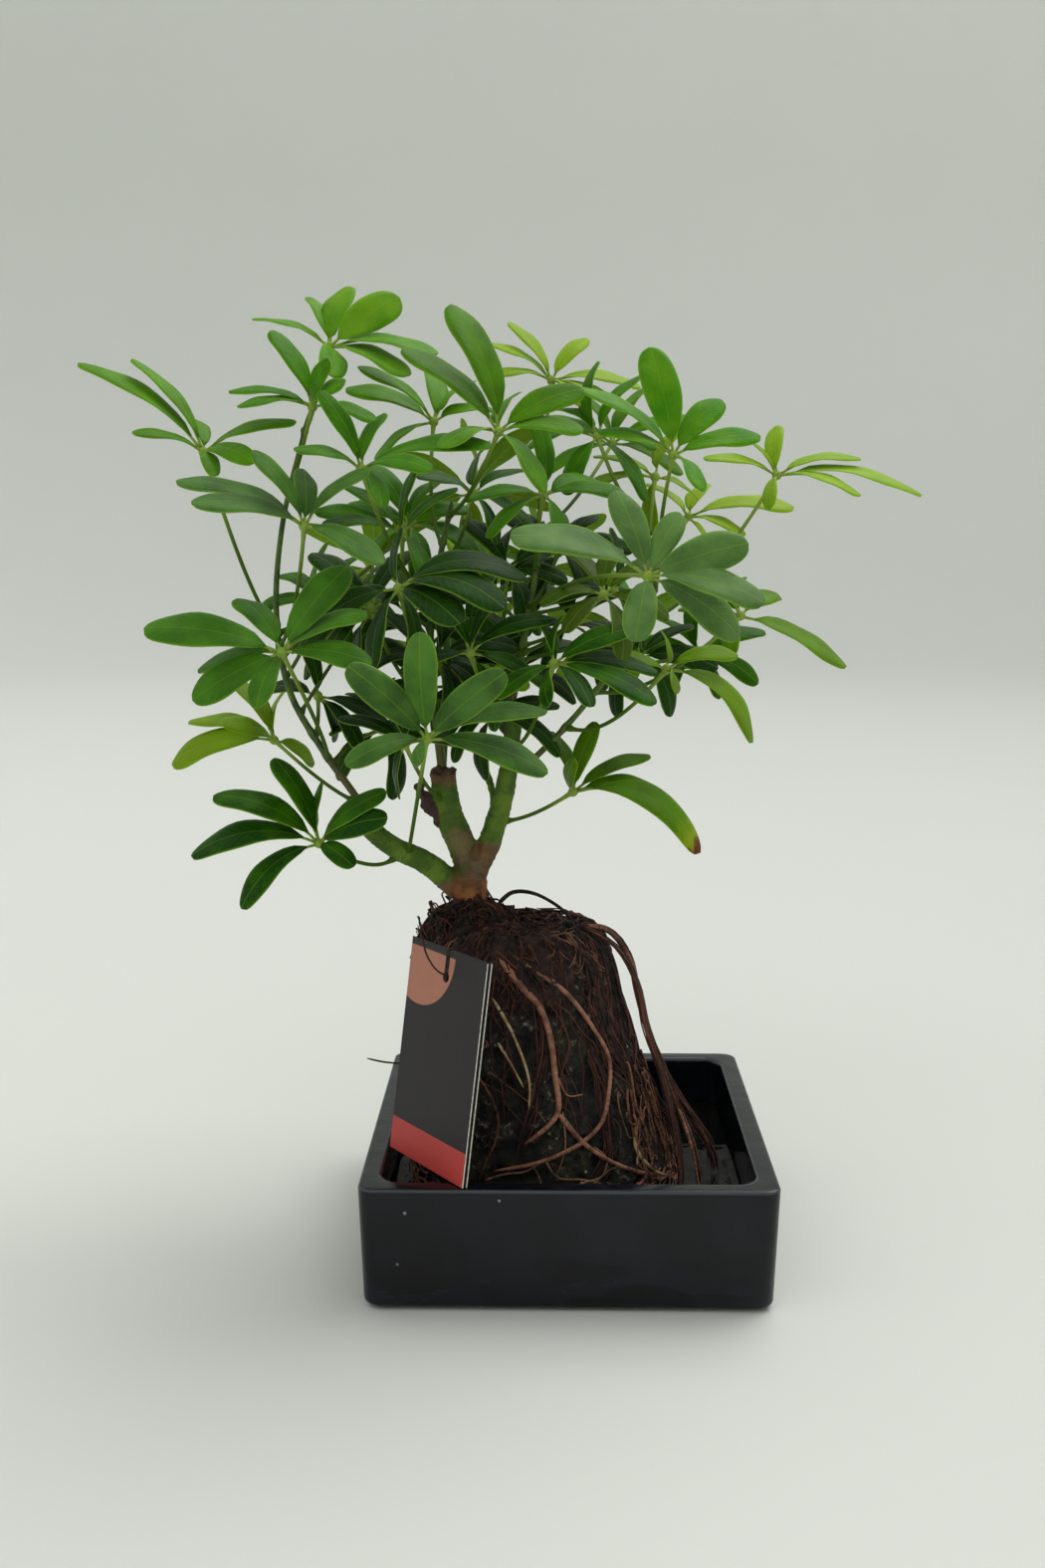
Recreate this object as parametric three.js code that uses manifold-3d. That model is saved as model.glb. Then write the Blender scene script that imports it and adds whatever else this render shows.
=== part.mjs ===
// An umbrella plant grown over a lava rock that stands in a square glazed tray of water.
// Millimetres, +Z up. The front faces -Y. The origin is the centre of the tray's flat underside.
import * as THREE from 'three';
import { mergeVertices } from 'three/addons/utils/BufferGeometryUtils.js';
import Module from 'manifold-3d';

const wasm = await Module();
wasm.setup();

// ---------------------------------------------------------------- driving sizes
const CLEAR = 0.3;                 // gap kept between neighbouring solids

const TRAY_WIDTH = 155;            // outside, across the rim
const TRAY_HEIGHT = 48;
const TRAY_TAPER = 1.5;            // how far each side leans in towards the bottom
const TRAY_WALL = 8;
const TRAY_FLOOR = 8;              // height of the inside floor
const TRAY_CORNER = 6;             // outside corner radius in plan
const TRAY_EDGE = 4.5;               // rounding of the bottom edge
const RIM_EDGE = 1.2;              // rounding of the rim
const FOOT_HEIGHT = 1.2;
const FOOT_INSET = 6;
const CORNER_STEPS = 4;

const WATER_LEVEL = 27;

const ROCK_TOP = 128;
const ROCK_SIDES = 26;
const ROCK_LEVELS = 9;

const MOUND_CENTRE = [-38, -3];
const MOUND_RADIUS = [24, 22];
const MOUND_TOP = 139;
const MOUND_BOTTOM = 110;
const MOUND_SIDES = 16;
const MOUND_LEVELS = 4;
const MOUND_LUMP = 0.06;            // its lumps, as a share of its radius
const MOUND_LID = 0.35;             // its flat top, as a share of its radius
const MOUND_SOCKET = [7.9, 7.2];    // radius of the hollow round the trunk, from foot to top

const BLADE_THICKNESS = 0.8;
const STALK_WIDTH = 1.3;
const STALK_SHARE = 0.2;           // the stalk's share of a leaflet's reach
const WIDTH_TO_REACH = 0.33;       // a leaflet's width for its reach
const LEAFLET_ARCH = 0.10;         // rise of a leaflet's middle for its reach
const PETIOLE_RADIUS = 0.9;
const PETIOLE_SIDES = 4;
const PETIOLE_STEPS = 4;
const PETIOLE_BOW = 0.35;          // how far a petiole first leans out of its stem, for its span
const PETIOLE_RISE = 0.12;         // and how far it follows its stem
const HUB_RADIUS = 2.7;
const LEAFLET_START = 1.0;         // a leaflet's root, sunk in the hub
const LONG_LEAFLET = 31;           // from this reach on, the stalk has a step of its own
const BUD_CLEAR = 0.6;             // from a stem to the foot of a petiole

const TAG_WIDTH = 50;
const TAG_HEIGHT = 83;
const TAG_LEAF = 0.7;
const TAG_GAPE = 1.8;              // how far the folded card stands open at its free edge

// ---------------------------------------------------------------- small helpers
const vec = (x, y, z) => new THREE.Vector3(x, y, z);
const rad = THREE.MathUtils.degToRad;

function meshFrom(points, faces) {
  const geometry = new THREE.BufferGeometry();
  geometry.setAttribute('position', new THREE.Float32BufferAttribute(points, 3));
  geometry.setIndex(faces);
  return geometry;
}

function toSolid(geometry) {
  const bare = geometry.clone();
  bare.deleteAttribute('normal');
  bare.deleteAttribute('uv');
  const merged = mergeVertices(bare, 1e-4);
  return new wasm.Manifold(new wasm.Mesh({
    numProp: 3,
    vertProperties: new Float32Array(merged.attributes.position.array),
    triVerts: new Uint32Array(merged.index.array),
  }));
}

function toGeometry(solid) {
  const mesh = solid.getMesh();
  return meshFrom(Array.from(mesh.vertProperties), Array.from(mesh.triVerts));
}

const fuse = (solids) => solids.reduce((sum, solid) => sum.add(solid));

// Rings of equal length, joined in order and closed with a fan at each end.
function stackRings(rings) {
  const count = rings[0].length;
  const points = rings.flat().flatMap((p) => [p.x, p.y, p.z]);
  const faces = [];
  for (let r = 0; r + 1 < rings.length; r += 1) {
    for (let k = 0; k < count; k += 1) {
      const a = r * count + k;
      const b = r * count + (k + 1) % count;
      faces.push(a, b, b + count, a, b + count, a + count);
    }
  }
  const last = (rings.length - 1) * count;
  for (let k = 1; k + 1 < count; k += 1) {
    faces.push(0, k + 1, k, last, last + k, last + k + 1);
  }
  return meshFrom(points, faces);
}

// A round bar along a curve, with its own radius at each step and flat ends.
function bar(curve, radiusAt, sides, steps) {
  const frames = curve.computeFrenetFrames(steps, false);
  const rings = [];
  for (let i = 0; i <= steps; i += 1) {
    const t = i / steps;
    const centre = curve.getPointAt(t);
    const ring = [];
    for (let k = 0; k < sides; k += 1) {
      const angle = 2 * Math.PI * k / sides;
      ring.push(centre.clone()
        .addScaledVector(frames.normals[i], Math.cos(angle) * radiusAt(t))
        .addScaledVector(frames.binormals[i], Math.sin(angle) * radiusAt(t)));
    }
    rings.push(ring);
  }
  return stackRings(rings);
}

const taper = (from, to) => (t) => from + (to - from) * t;
const smoothCurve = (points) => (
  new THREE.CatmullRomCurve3(points.map((p) => vec(...p)), false, 'centripetal'));

// ---------------------------------------------------------------- tray and water
function roundedSquare(half, corner, z) {
  const ring = [];
  for (let quarter = 0; quarter < 4; quarter += 1) {
    const turn = quarter * Math.PI / 2;
    for (let k = 0; k <= CORNER_STEPS; k += 1) {
      const angle = (k / CORNER_STEPS) * Math.PI / 2;
      const x = half - corner + corner * Math.cos(angle);
      const y = half - corner + corner * Math.sin(angle);
      ring.push(vec(x * Math.cos(turn) - y * Math.sin(turn), x * Math.sin(turn) + y * Math.cos(turn), z));
    }
  }
  return ring;
}

const trayHalf = (z) => TRAY_WIDTH / 2 - TRAY_TAPER * (1 - z / TRAY_HEIGHT);
const trayInside = (z) => trayHalf(z) - TRAY_WALL;
const INSIDE_CORNER = 9;
const COVE = 4;                    // rounding between the inside walls and the floor

function buildTray() {
  const low = trayHalf(FOOT_HEIGHT);
  return stackRings([
    roundedSquare(low - FOOT_INSET, 5, 0),
    roundedSquare(low - FOOT_INSET, 5, FOOT_HEIGHT),
    roundedSquare(low - TRAY_EDGE, 5, FOOT_HEIGHT),
    roundedSquare(low - TRAY_EDGE * 0.3, TRAY_CORNER, FOOT_HEIGHT + TRAY_EDGE * 0.3),
    roundedSquare(trayHalf(FOOT_HEIGHT + TRAY_EDGE), TRAY_CORNER, FOOT_HEIGHT + TRAY_EDGE),
    roundedSquare(trayHalf(TRAY_HEIGHT - RIM_EDGE), TRAY_CORNER, TRAY_HEIGHT - RIM_EDGE),
    roundedSquare(trayHalf(TRAY_HEIGHT) - RIM_EDGE, TRAY_CORNER, TRAY_HEIGHT),
    roundedSquare(trayInside(TRAY_HEIGHT) + RIM_EDGE, INSIDE_CORNER, TRAY_HEIGHT),
    roundedSquare(trayInside(TRAY_HEIGHT - RIM_EDGE), INSIDE_CORNER, TRAY_HEIGHT - RIM_EDGE),
    roundedSquare(trayInside(TRAY_FLOOR + COVE), INSIDE_CORNER, TRAY_FLOOR + COVE),
    roundedSquare(trayInside(TRAY_FLOOR) - COVE, INSIDE_CORNER - COVE, TRAY_FLOOR),
  ]);
}

// ---------------------------------------------------------------- rock
// The rock's middle line and half sizes go from foot to top; the section is a rounded ellipse.
const ROCK_FOOT = TRAY_FLOOR + CLEAR;
const rockShare = (z) => THREE.MathUtils.clamp((z - ROCK_FOOT) / (ROCK_TOP - ROCK_FOOT), 0, 1);
const rockMiddle = (z) => THREE.MathUtils.lerp(-6.5, -21.5, rockShare(z));
const rockHalfX = (z) => THREE.MathUtils.lerp(54.5, 34.5, rockShare(z));
const rockHalfY = (z) => THREE.MathUtils.lerp(48, 30, rockShare(z));
const ROCK_SQUARENESS = 2.6;

function rockReach(angle, z) {
  const cx = Math.abs(Math.cos(angle)) / rockHalfX(z);
  const cy = Math.abs(Math.sin(angle)) / rockHalfY(z);
  return (cx ** ROCK_SQUARENESS + cy ** ROCK_SQUARENESS) ** (-1 / ROCK_SQUARENESS);
}

// Low bumps, never proud of the plain form.
function rockDent(angle, z) {
  return 0.4 * (1 + Math.sin(3 * angle + z / 11)) + 0.2 * (1 + Math.sin(7 * angle - z / 7));
}

function rockRing(z, grow, inset = 0) {
  const ring = [];
  for (let k = 0; k < ROCK_SIDES; k += 1) {
    const angle = 2 * Math.PI * k / ROCK_SIDES;
    const reach = rockReach(angle, z) - rockDent(angle, z) - inset + grow;
    ring.push(vec(rockMiddle(z) + reach * Math.cos(angle), reach * Math.sin(angle), z));
  }
  return ring;
}

function buildRock(grow = 0) {
  const rings = [];
  for (let i = 0; i <= ROCK_LEVELS; i += 1) {
    const z = THREE.MathUtils.lerp(ROCK_FOOT, ROCK_TOP - 5, i / ROCK_LEVELS);
    rings.push(rockRing(z, grow));
  }
  rings.push(rockRing(ROCK_TOP - 1.5, grow, 2.5));
  const lid = rockRing(ROCK_TOP, grow, 7);
  lid.forEach((p) => { p.z += grow; });
  rings.push(lid);
  return stackRings(rings);
}

// The front of the plain rock form at a place seen from the front.
function rockFront(x, z) {
  const across = Math.min(Math.abs(x - rockMiddle(z)) / rockHalfX(z), 0.995);
  return -rockHalfY(z) * (1 - across ** ROCK_SQUARENESS) ** (1 / ROCK_SQUARENESS);
}

function buildWater() {
  const side = (z) => trayInside(z) - CLEAR;
  const body = toSolid(stackRings([
    roundedSquare(side(TRAY_FLOOR) - COVE, INSIDE_CORNER - COVE, TRAY_FLOOR + CLEAR),
    roundedSquare(side(TRAY_FLOOR + COVE) - CLEAR, INSIDE_CORNER, TRAY_FLOOR + COVE + CLEAR),
    roundedSquare(side(WATER_LEVEL), INSIDE_CORNER, WATER_LEVEL),
  ]));
  const hole = [];
  for (const z of [TRAY_FLOOR - 2, WATER_LEVEL + 2]) {
    const ring = [];
    for (let k = 0; k < ROCK_SIDES; k += 1) {
      const angle = 2 * Math.PI * k / ROCK_SIDES;
      const reach = rockReach(angle, ROCK_FOOT) + CLEAR;
      ring.push(vec(rockMiddle(ROCK_FOOT) + reach * Math.cos(angle), reach * Math.sin(angle), z));
    }
    hole.push(ring);
  }
  return toGeometry(body.subtract(toSolid(stackRings(hole))));
}

// ---------------------------------------------------------------- trunk and shoots
// Each limb: points from its root to its end, and the radius at both ends.
const FOOT_Z = ROCK_TOP + CLEAR;
const LIMBS = {
  foot: { route: [[-39, 0, FOOT_Z], [-39, 0, 135], [-38.3, 0, 145], [-38, 0, 156]], from: 6.8, to: 5.6 },
  left: {
    route: [[-38, 0, 137], [-45, -1, 144], [-57, -4, 154], [-68, -7, 160], [-79, -9, 170], [-84, -10, 182]],
    from: 5.2, to: 3.6,
  },
  centre: { route: [[-38, 0, 148], [-43, 0, 162], [-48, 0, 174], [-50, 0, 192]], from: 6, to: 5.2 },
  right: {
    route: [[-38, 0, 146], [-32, 0, 160], [-27, 0, 175], [-23, 0, 195], [-22, 0, 219]],
    from: 5, to: 3,
  },
  twig: { route: [[-30, 0, 166], [-30, 5, 180], [-35, 7, 194]], from: 1.8, to: 1.4 },
  stub: { route: [[-48, 0, 168], [-55, -3, 177], [-60, -4, 186]], from: 3.2, to: 2 },
};
const LIMB_SIDES = 7;
const LIMB_STEPS = 5;
const SHOOT_STEPS = 7;

const SHOOTS = {
  left_shoot: {
    route: [[-84.5, -10, 183.2], [-96, -10, 200], [-108, -10, 222], [-113, -8, 250], [-111, -3, 285],
      [-101, 8, 330]],
    from: 2.1, to: 1.2,
  },
  centre_shoot: {
    route: [[-50.2, 0, 193.2], [-53, 4, 215], [-55, 9, 240], [-52, 12, 268], [-46, 12, 296]],
    from: 2.7, to: 1.4,
  },
  right_shoot: {
    route: [[-21.8, 0, 220.3], [-18, 4, 240], [-14, 10, 262], [-10, 14, 288]],
    from: 2.3, to: 1.3,
  },
  outer_shoot: {
    route: [[-17.6, -1.6, 191.5], [-3, -2, 206], [13, 0, 225], [30, 3, 250], [38, 8, 285]],
    from: 1.8, to: 1.2,
  },
};

const limbCurve = (limb) => smoothCurve(limb.route);

function buildTrunk() {
  return fuse(Object.values(LIMBS).map((limb) => (
    toSolid(bar(limbCurve(limb), taper(limb.from, limb.to), LIMB_SIDES, LIMB_STEPS)))));
}

// Where a petiole leaves its stem: the stem's side at a height, on the side that faces the hub.
function budOn(limb, height, hub) {
  const curve = limbCurve(limb);
  const steps = 60;
  let best = 0;
  for (let i = 0; i <= steps; i += 1) {
    if (Math.abs(curve.getPoint(i / steps).z - height) < Math.abs(curve.getPoint(best).z - height)) {
      best = i / steps;
    }
  }
  const centre = curve.getPoint(best);
  const along = curve.getTangent(best);
  const out = hub.clone().sub(centre);
  out.addScaledVector(along, -out.dot(along)).normalize();
  const radius = THREE.MathUtils.lerp(limb.from, limb.to, best);
  return { start: centre.addScaledVector(out, radius + BUD_CLEAR), out, along };
}

// ---------------------------------------------------------------- leaves
// hub: where the leaflets meet. stem and height: where its petiole starts.
// Each leaflet is [clock, lean, reach, face]: clock is its direction seen from the front, with 0 to the right
// and 90 up; lean tips it towards the viewer; reach is from hub to tip; face is the share of its upper side
// that the front sees; a fifth value is the arch of a leaflet that bends more than the rest. A leaf with a
// petiole straighter than the rest has a bow of its own.
const LEAVES = {
  leaf_top_left: {
    hub: [-95, 25, 356], stem: 'left_shoot', height: 322,
    leaflets: [[78, -35, 32, 0.9], [35, -15, 35, 0.95], [160, 0, 32, 0.25], [355, 10, 44, 0.3],
      [338, 25, 38, 0.4], [285, 62, 30, 0.5], [113, -40, 30, 0.6]],
  },
  leaf_upper_left: {
    hub: [-98, -4, 331], stem: 'left_shoot', height: 300,
    leaflets: [[120, 0, 32, 0.5], [171, 5, 32, 0.3], [183, 30, 30, 0.35], [58, 45, 25, 0.7],
      [24, 50, 25, 0.6], [345, 25, 28, 0.4]],
  },
  leaf_top_middle: {
    hub: [-55, 40, 328], stem: 'centre_shoot', height: 280,
    leaflets: [[160, 0, 38, 0.45], [145, 30, 40, 0.3], [95, -50, 34, 0.8], [15, -40, 32, 0.45],
      [50, -45, 32, 0.4], [215, 30, 32, 0.4]],
  },
  leaf_high_middle: {
    hub: [-78, -20, 307], stem: 'centre_shoot', height: 256,
    leaflets: [[118, 18, 32, 0.6], [73, -40, 29, 0.7], [10, 5, 50, 0.4], [358, 38, 36, 0.45],
      [164, 40, 30, 0.4], [305, 55, 30, 0.5]],
  },
  leaf_far_left: {
    hub: [-141, 0, 314], stem: 'left_shoot', height: 248, bow: 0.12,
    leaflets: [[145, 0, 58, 0.3], [128, -10, 46, 0.3], [122, -58, 31, 0.5], [165, 40, 30, 0.3],
      [15, 15, 40, 0.45], [350, 45, 36, 0.6], [308, 62, 26, 0.7]],
  },
  leaf_left_front: {
    hub: [-97, -38, 286], stem: 'left_shoot', height: 240,
    leaflets: [[160, 5, 48, 0.45], [168, 38, 45, 0.7], [100, -40, 28, 0.8], [40, 5, 32, 0.45],
      [335, 35, 40, 0.8], [122, 20, 33, 0.4]],
  },
  leaf_inner_left: {
    hub: [-65, 4, 283], stem: 'centre_shoot', height: 240,
    leaflets: [[140, 0, 30, 0.35], [165, 20, 36, 0.4], [173, 42, 37, 0.35], [75, 5, 28, 0.5],
      [40, -10, 28, 0.45], [300, 45, 28, 0.5]],
  },
  leaf_big_left: {
    hub: [-104, -52, 241], stem: 'left_shoot', height: 197,
    leaflets: [[171, 10, 49, 0.6], [135, -40, 34, 0.65], [52, -18, 40, 0.9], [25, -10, 34, 0.45],
      [192, -15, 34, 0.4], [208, 15, 36, 0.9], [250, 48, 28, 0.9], [355, 10, 34, 0.6]],
  },
  leaf_nearest: {
    hub: [-50, -76, 213], stem: 'left', height: 158,
    leaflets: [[136, 20, 39, 0.85], [90, 10, 38, 0.97], [42, 15, 38, 0.95], [15, 10, 44, 0.4],
      [346, 10, 44, 0.55], [193, 30, 32, 0.6], [262, 76, 24, 0.5]],
  },
  leaf_low_left: {
    hub: [-121, 25, 199], stem: 'left', height: 180,
    leaflets: [[195, 0, 44, 0.6, 0.16], [170, -20, 40, 0.35], [130, -30, 36, 0.4], [150, 50, 30, 0.4],
      [85, -50, 30, 0.4], [320, -40, 24, 0.4]],
  },
  leaf_lowest_left: {
    hub: [-97, -17, 164], stem: 'left', height: 159.5,
    leaflets: [[183, 10, 49, 0.5, 0.18], [157, 0, 45, 0.5, 0.16], [121, -10, 38, 0.5], [88, -15, 24, 0.5],
      [38, 15, 36, 0.5], [27, 25, 35, 0.7], [344, 50, 26, 0.7], [217, 20, 39, 0.6, 0.16]],
  },
  leaf_top_centre: {
    hub: [-27, -12, 321], stem: 'centre_shoot', height: 290,
    leaflets: [[110, -5, 50, 0.6], [140, 0, 47, 0.55], [28, -10, 36, 0.75], [0, 15, 33, 0.45],
      [305, 40, 36, 0.5], [200, 52, 34, 0.35], [68, -58, 32, 0.5]],
  },
  leaf_top_back: {
    hub: [-7, 70, 347], stem: 'right_shoot', height: 282,
    leaflets: [[127, -10, 31, 0.5], [50, -30, 28, 0.8], [150, 5, 30, 0.3], [178, 30, 28, 0.3],
      [355, 0, 38, 0.4], [315, 50, 28, 0.4], [335, 20, 34, 0.35]],
  },
  leaf_top_right: {
    hub: [40, 4, 313], stem: 'outer_shoot', height: 275,
    leaflets: [[103, -5, 42, 0.97], [50, -25, 32, 0.9], [10, 5, 34, 0.6], [145, 0, 46, 0.4],
      [165, 18, 32, 0.35], [300, 58, 30, 0.5]],
  },
  leaf_behind_right: {
    hub: [36, 48, 306], stem: 'outer_shoot', height: 262,
    leaflets: [[160, -20, 28, 0.35], [268, 0, 24, 0.6], [335, -30, 24, 0.35], [190, 10, 32, 0.35],
      [60, -40, 34, 0.4]],
  },
  leaf_far_right: {
    hub: [88, 60, 307], stem: 'outer_shoot', height: 250,
    leaflets: [[85, -40, 28, 0.8], [352, 0, 62, 0.25], [12, -15, 38, 0.25], [345, 28, 38, 0.3],
      [132, -20, 25, 0.35], [168, 5, 32, 0.35], [250, 55, 26, 0.5]],
  },
  leaf_big_right: {
    hub: [26, -72, 269], stem: 'right_shoot', height: 254,
    leaflets: [[163, 10, 50, 0.8], [110, -15, 32, 0.95], [60, -20, 26, 0.95], [19, 0, 36, 0.95],
      [348, 20, 42, 0.55], [328, 5, 38, 0.8], [260, 45, 30, 0.95]],
  },
  leaf_mid_right: {
    hub: [70, 27, 250], stem: 'outer_shoot', height: 222,
    leaflets: [[335, 0, 48, 0.4, 0.07], [25, -50, 30, 0.7], [80, -60, 28, 0.5], [135, 10, 30, 0.5],
      [175, -40, 30, 0.4], [250, 50, 26, 0.4]],
  },
  leaf_low_right: {
    hub: [38, -4, 231], stem: 'outer_shoot', height: 208,
    leaflets: [[320, 5, 44, 0.5, 0.22], [95, -50, 22, 0.4], [10, 5, 28, 0.5, 0.16], [170, 20, 26, 0.5],
      [280, 74, 22, 0.4]],
  },
  leaf_centre_right: {
    hub: [-6, -28, 235], stem: 'right', height: 200,
    leaflets: [[115, -55, 32, 0.5], [80, -50, 26, 0.4], [25, 0, 32, 0.65], [210, 20, 26, 0.6],
      [315, 50, 30, 0.5], [355, -10, 40, 0.4], [340, 18, 42, 0.45], [262, 58, 26, 0.35]],
  },
  leaf_lowest_right: {
    hub: [2, 5, 181], stem: 'right', height: 171,
    leaflets: [[336, 10, 56, 0.5, 0.25], [357, -15, 38, 0.5, 0.14], [20, -25, 38, 0.5], [72, 5, 30, 0.85],
      [110, -40, 30, 0.65], [90, 50, 26, 0.5]],
  },
  leaf_centre_front: {
    hub: [-64, -27, 263], stem: 'centre_shoot', height: 222,
    leaflets: [[5, 0, 48, 0.5, 0.2], [352, 25, 46, 0.5, 0.18], [335, 45, 38, 0.65], [88, -20, 24, 0.45],
      [212, 10, 44, 0.7, 0.18], [205, -30, 36, 0.5], [255, 35, 36, 0.5], [285, 15, 28, 0.4]],
  },
  leaf_centre_low: {
    hub: [-38, -14, 238], stem: 'right', height: 212,
    leaflets: [[22, 0, 34, 0.5, 0.14], [62, -15, 30, 0.5], [128, 0, 30, 0.5, 0.14], [196, 30, 30, 0.5],
      [335, -12, 34, 0.5], [288, 15, 32, 0.5]],
  },
  leaf_inner_top: {
    hub: [-38, 24, 299], stem: 'centre_shoot', height: 272,
    leaflets: [[165, 35, 28, 0.4], [78, -50, 32, 0.4], [25, -40, 30, 0.4], [295, 20, 24, 0.4],
      [330, -10, 30, 0.4]],
  },
  leaf_upper_centre: {
    hub: [-10, 8, 298], stem: 'right_shoot', height: 270,
    leaflets: [[184, 0, 31, 0.45], [97, 0, 32, 0.65], [15, -45, 32, 0.7], [0, 10, 32, 0.45],
      [290, 50, 30, 0.4], [218, 25, 30, 0.4]],
  },
  leaf_back_right: {
    hub: [53, 82, 290], stem: 'outer_shoot', height: 238,
    leaflets: [[60, -50, 26, 0.7], [5, 0, 46, 0.3], [140, -30, 26, 0.35], [340, 30, 28, 0.35],
      [300, -30, 26, 0.4]],
  },
  leaf_dark_right: {
    hub: [18, 12, 260], stem: 'right_shoot', height: 252,
    leaflets: [[190, 0, 30, 0.5], [175, -50, 30, 0.35], [214, -50, 28, 0.4], [35, -50, 28, 0.4],
      [300, -30, 30, 0.4], [92, -25, 28, 0.4]],
  },
  leaf_dark_left: {
    hub: [-100, 8, 219], stem: 'left_shoot', height: 206,
    leaflets: [[105, -12, 22, 0.65], [335, 0, 34, 0.4], [312, 20, 30, 0.35], [180, -30, 32, 0.35],
      [285, -40, 26, 0.4]],
  },
  leaf_low_centre: {
    hub: [-62, -30, 205], stem: 'centre', height: 180,
    leaflets: [[160, -15, 28, 0.4], [355, -20, 28, 0.4], [262, -20, 24, 0.4], [65, -40, 28, 0.5],
      [120, -30, 26, 0.4]],
  },
  leaf_rear_left: {
    hub: [-86, 76, 268], stem: 'left_shoot', height: 236,
    leaflets: [[150, -10, 36], [95, -30, 40], [40, -10, 42], [330, -25, 34], [265, -40, 36], [205, -25, 34]],
  },
  leaf_rear_top: {
    hub: [-42, 88, 300], stem: 'centre_shoot', height: 252,
    leaflets: [[155, -15, 42], [100, -35, 40], [45, -20, 42], [350, -5, 36], [268, -20, 30], [205, -20, 42]],
  },
  leaf_rear_right: {
    hub: [26, 76, 238], stem: 'right_shoot', height: 234,
    leaflets: [[165, -20, 38], [100, -40, 38], [35, -15, 36], [335, -20, 36], [275, -45, 32], [215, -20, 38]],
  },
  leaf_rear_low: {
    hub: [-52, 74, 224], stem: 'centre', height: 187,
    leaflets: [[165, -15, 38], [105, -45, 30], [45, -20, 42], [345, -15, 38], [280, -40, 34], [215, -20, 38]],
  },
  leaf_rear_middle: {
    hub: [-12, 98, 266], stem: 'right_shoot', height: 240,
    leaflets: [[160, -15, 36], [100, -35, 40], [40, -20, 42], [350, -20, 38], [270, -60, 34], [195, -20, 36]],
  },
  leaf_rear_high: {
    hub: [20, 92, 322], stem: 'right_shoot', height: 286,
    leaflets: [[165, -10, 38, 0.4], [125, -20, 34, 0.4], [60, -30, 34, 0.5], [15, 0, 38, 0.4],
      [335, 10, 34, 0.4], [205, 5, 34, 0.4]],
  },
};

const REAR_AXIS = vec(0, 0.7, 1).normalize();
const UP = vec(0, 0, 1);
const VIEWER = vec(0, -1, 0);

// The leaflet's own directions: along it, out of its upper side, and across it.
function leafletFrame([clock, lean, , face]) {
  const level = Math.cos(rad(lean));
  const along = vec(Math.cos(rad(clock)) * level, -Math.sin(rad(lean)), Math.sin(rad(clock)) * level);
  let normal;
  if (face === undefined) {
    normal = REAR_AXIS.clone().addScaledVector(along, -REAR_AXIS.dot(along)).normalize();
  } else {
    const shown = VIEWER.clone().addScaledVector(along, -VIEWER.dot(along)).normalize();
    const side = along.clone().cross(shown);
    if (side.dot(UP) < 0) side.negate();
    normal = shown.multiplyScalar(face).addScaledVector(side, Math.sqrt(1 - face * face));
  }
  return { along, normal, across: normal.clone().cross(along) };
}

// Stations along a leaflet: its share of the reach, and its share of the full width.
const BLADE_STATIONS = [[0.45, 0.8], [0.78, 1], [1, 0.3]];

function buildLeaflet(hub, leaflet) {
  const reach = leaflet[2];
  const arch = leaflet[4] ?? LEAFLET_ARCH;
  const { along, normal, across } = leafletFrame(leaflet);
  const root = [LEAFLET_START / reach, 0];
  const stalk = reach < LONG_LEAFLET ? [] : [[STALK_SHARE, 0]];
  const stations = [root, ...stalk, ...BLADE_STATIONS];
  return stackRings(stations.map(([t, share]) => {
    const half = Math.max(STALK_WIDTH, WIDTH_TO_REACH * reach * share) / 2;
    const rise = 4 * arch * reach * t * (1 - t);
    const centre = hub.clone().addScaledVector(along, reach * t).addScaledVector(normal, rise);
    const corner = (side, up) => centre.clone()
      .addScaledVector(across, side * half)
      .addScaledVector(normal, up * BLADE_THICKNESS / 2);
    return [corner(-1, -1), corner(1, -1), corner(1, 1), corner(-1, 1)];
  }));
}

function petioleCurve(leaf) {
  const hub = vec(...leaf.hub);
  const limb = SHOOTS[leaf.stem] ?? LIMBS[leaf.stem];
  const { start, out, along } = budOn(limb, leaf.height, hub);
  const span = start.distanceTo(hub);
  const bend = start.clone()
    .addScaledVector(out, (leaf.bow ?? PETIOLE_BOW) * span)
    .addScaledVector(along, PETIOLE_RISE * span);
  return new THREE.QuadraticBezierCurve3(start, bend, hub);
}

function buildLeaf(leaf) {
  const hub = vec(...leaf.hub);
  const knot = new THREE.OctahedronGeometry(HUB_RADIUS, 0);
  knot.translate(hub.x, hub.y, hub.z);
  const petiole = bar(petioleCurve(leaf), () => PETIOLE_RADIUS, PETIOLE_SIDES, PETIOLE_STEPS);
  const leaflets = leaf.leaflets.map((leaflet) => toSolid(buildLeaflet(hub, leaflet)));
  return toGeometry(fuse([toSolid(knot), toSolid(petiole), ...leaflets]));
}

// ---------------------------------------------------------------- roots
// Each route is seen from the front as [x, z, lift]; lift is how far the root stands off the rock,
// or in a dip of it where it is below 0.
const ROOT_SIDES = 5;
const ROOT_SEAT = 0.4;
const ROOT_TAPER = 0.7;
const ROOT_STEPS_A_POINT = 1.4;
const STRAND_STEPS = 10;

function rootCurve(route, radius) {
  return smoothCurve(route.map(([x, z, lift = 0]) => (
    [x, rockFront(x, z) - radius - ROOT_SEAT - lift, z])));
}

function buildRoots(roots) {
  return toGeometry(fuse(roots.map(({ route, radius }) => {
    const steps = Math.round(ROOT_STEPS_A_POINT * route.length);
    return toSolid(bar(rootCurve(route, radius), taper(radius, radius * ROOT_TAPER), ROOT_SIDES, steps));
  })));
}

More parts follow.
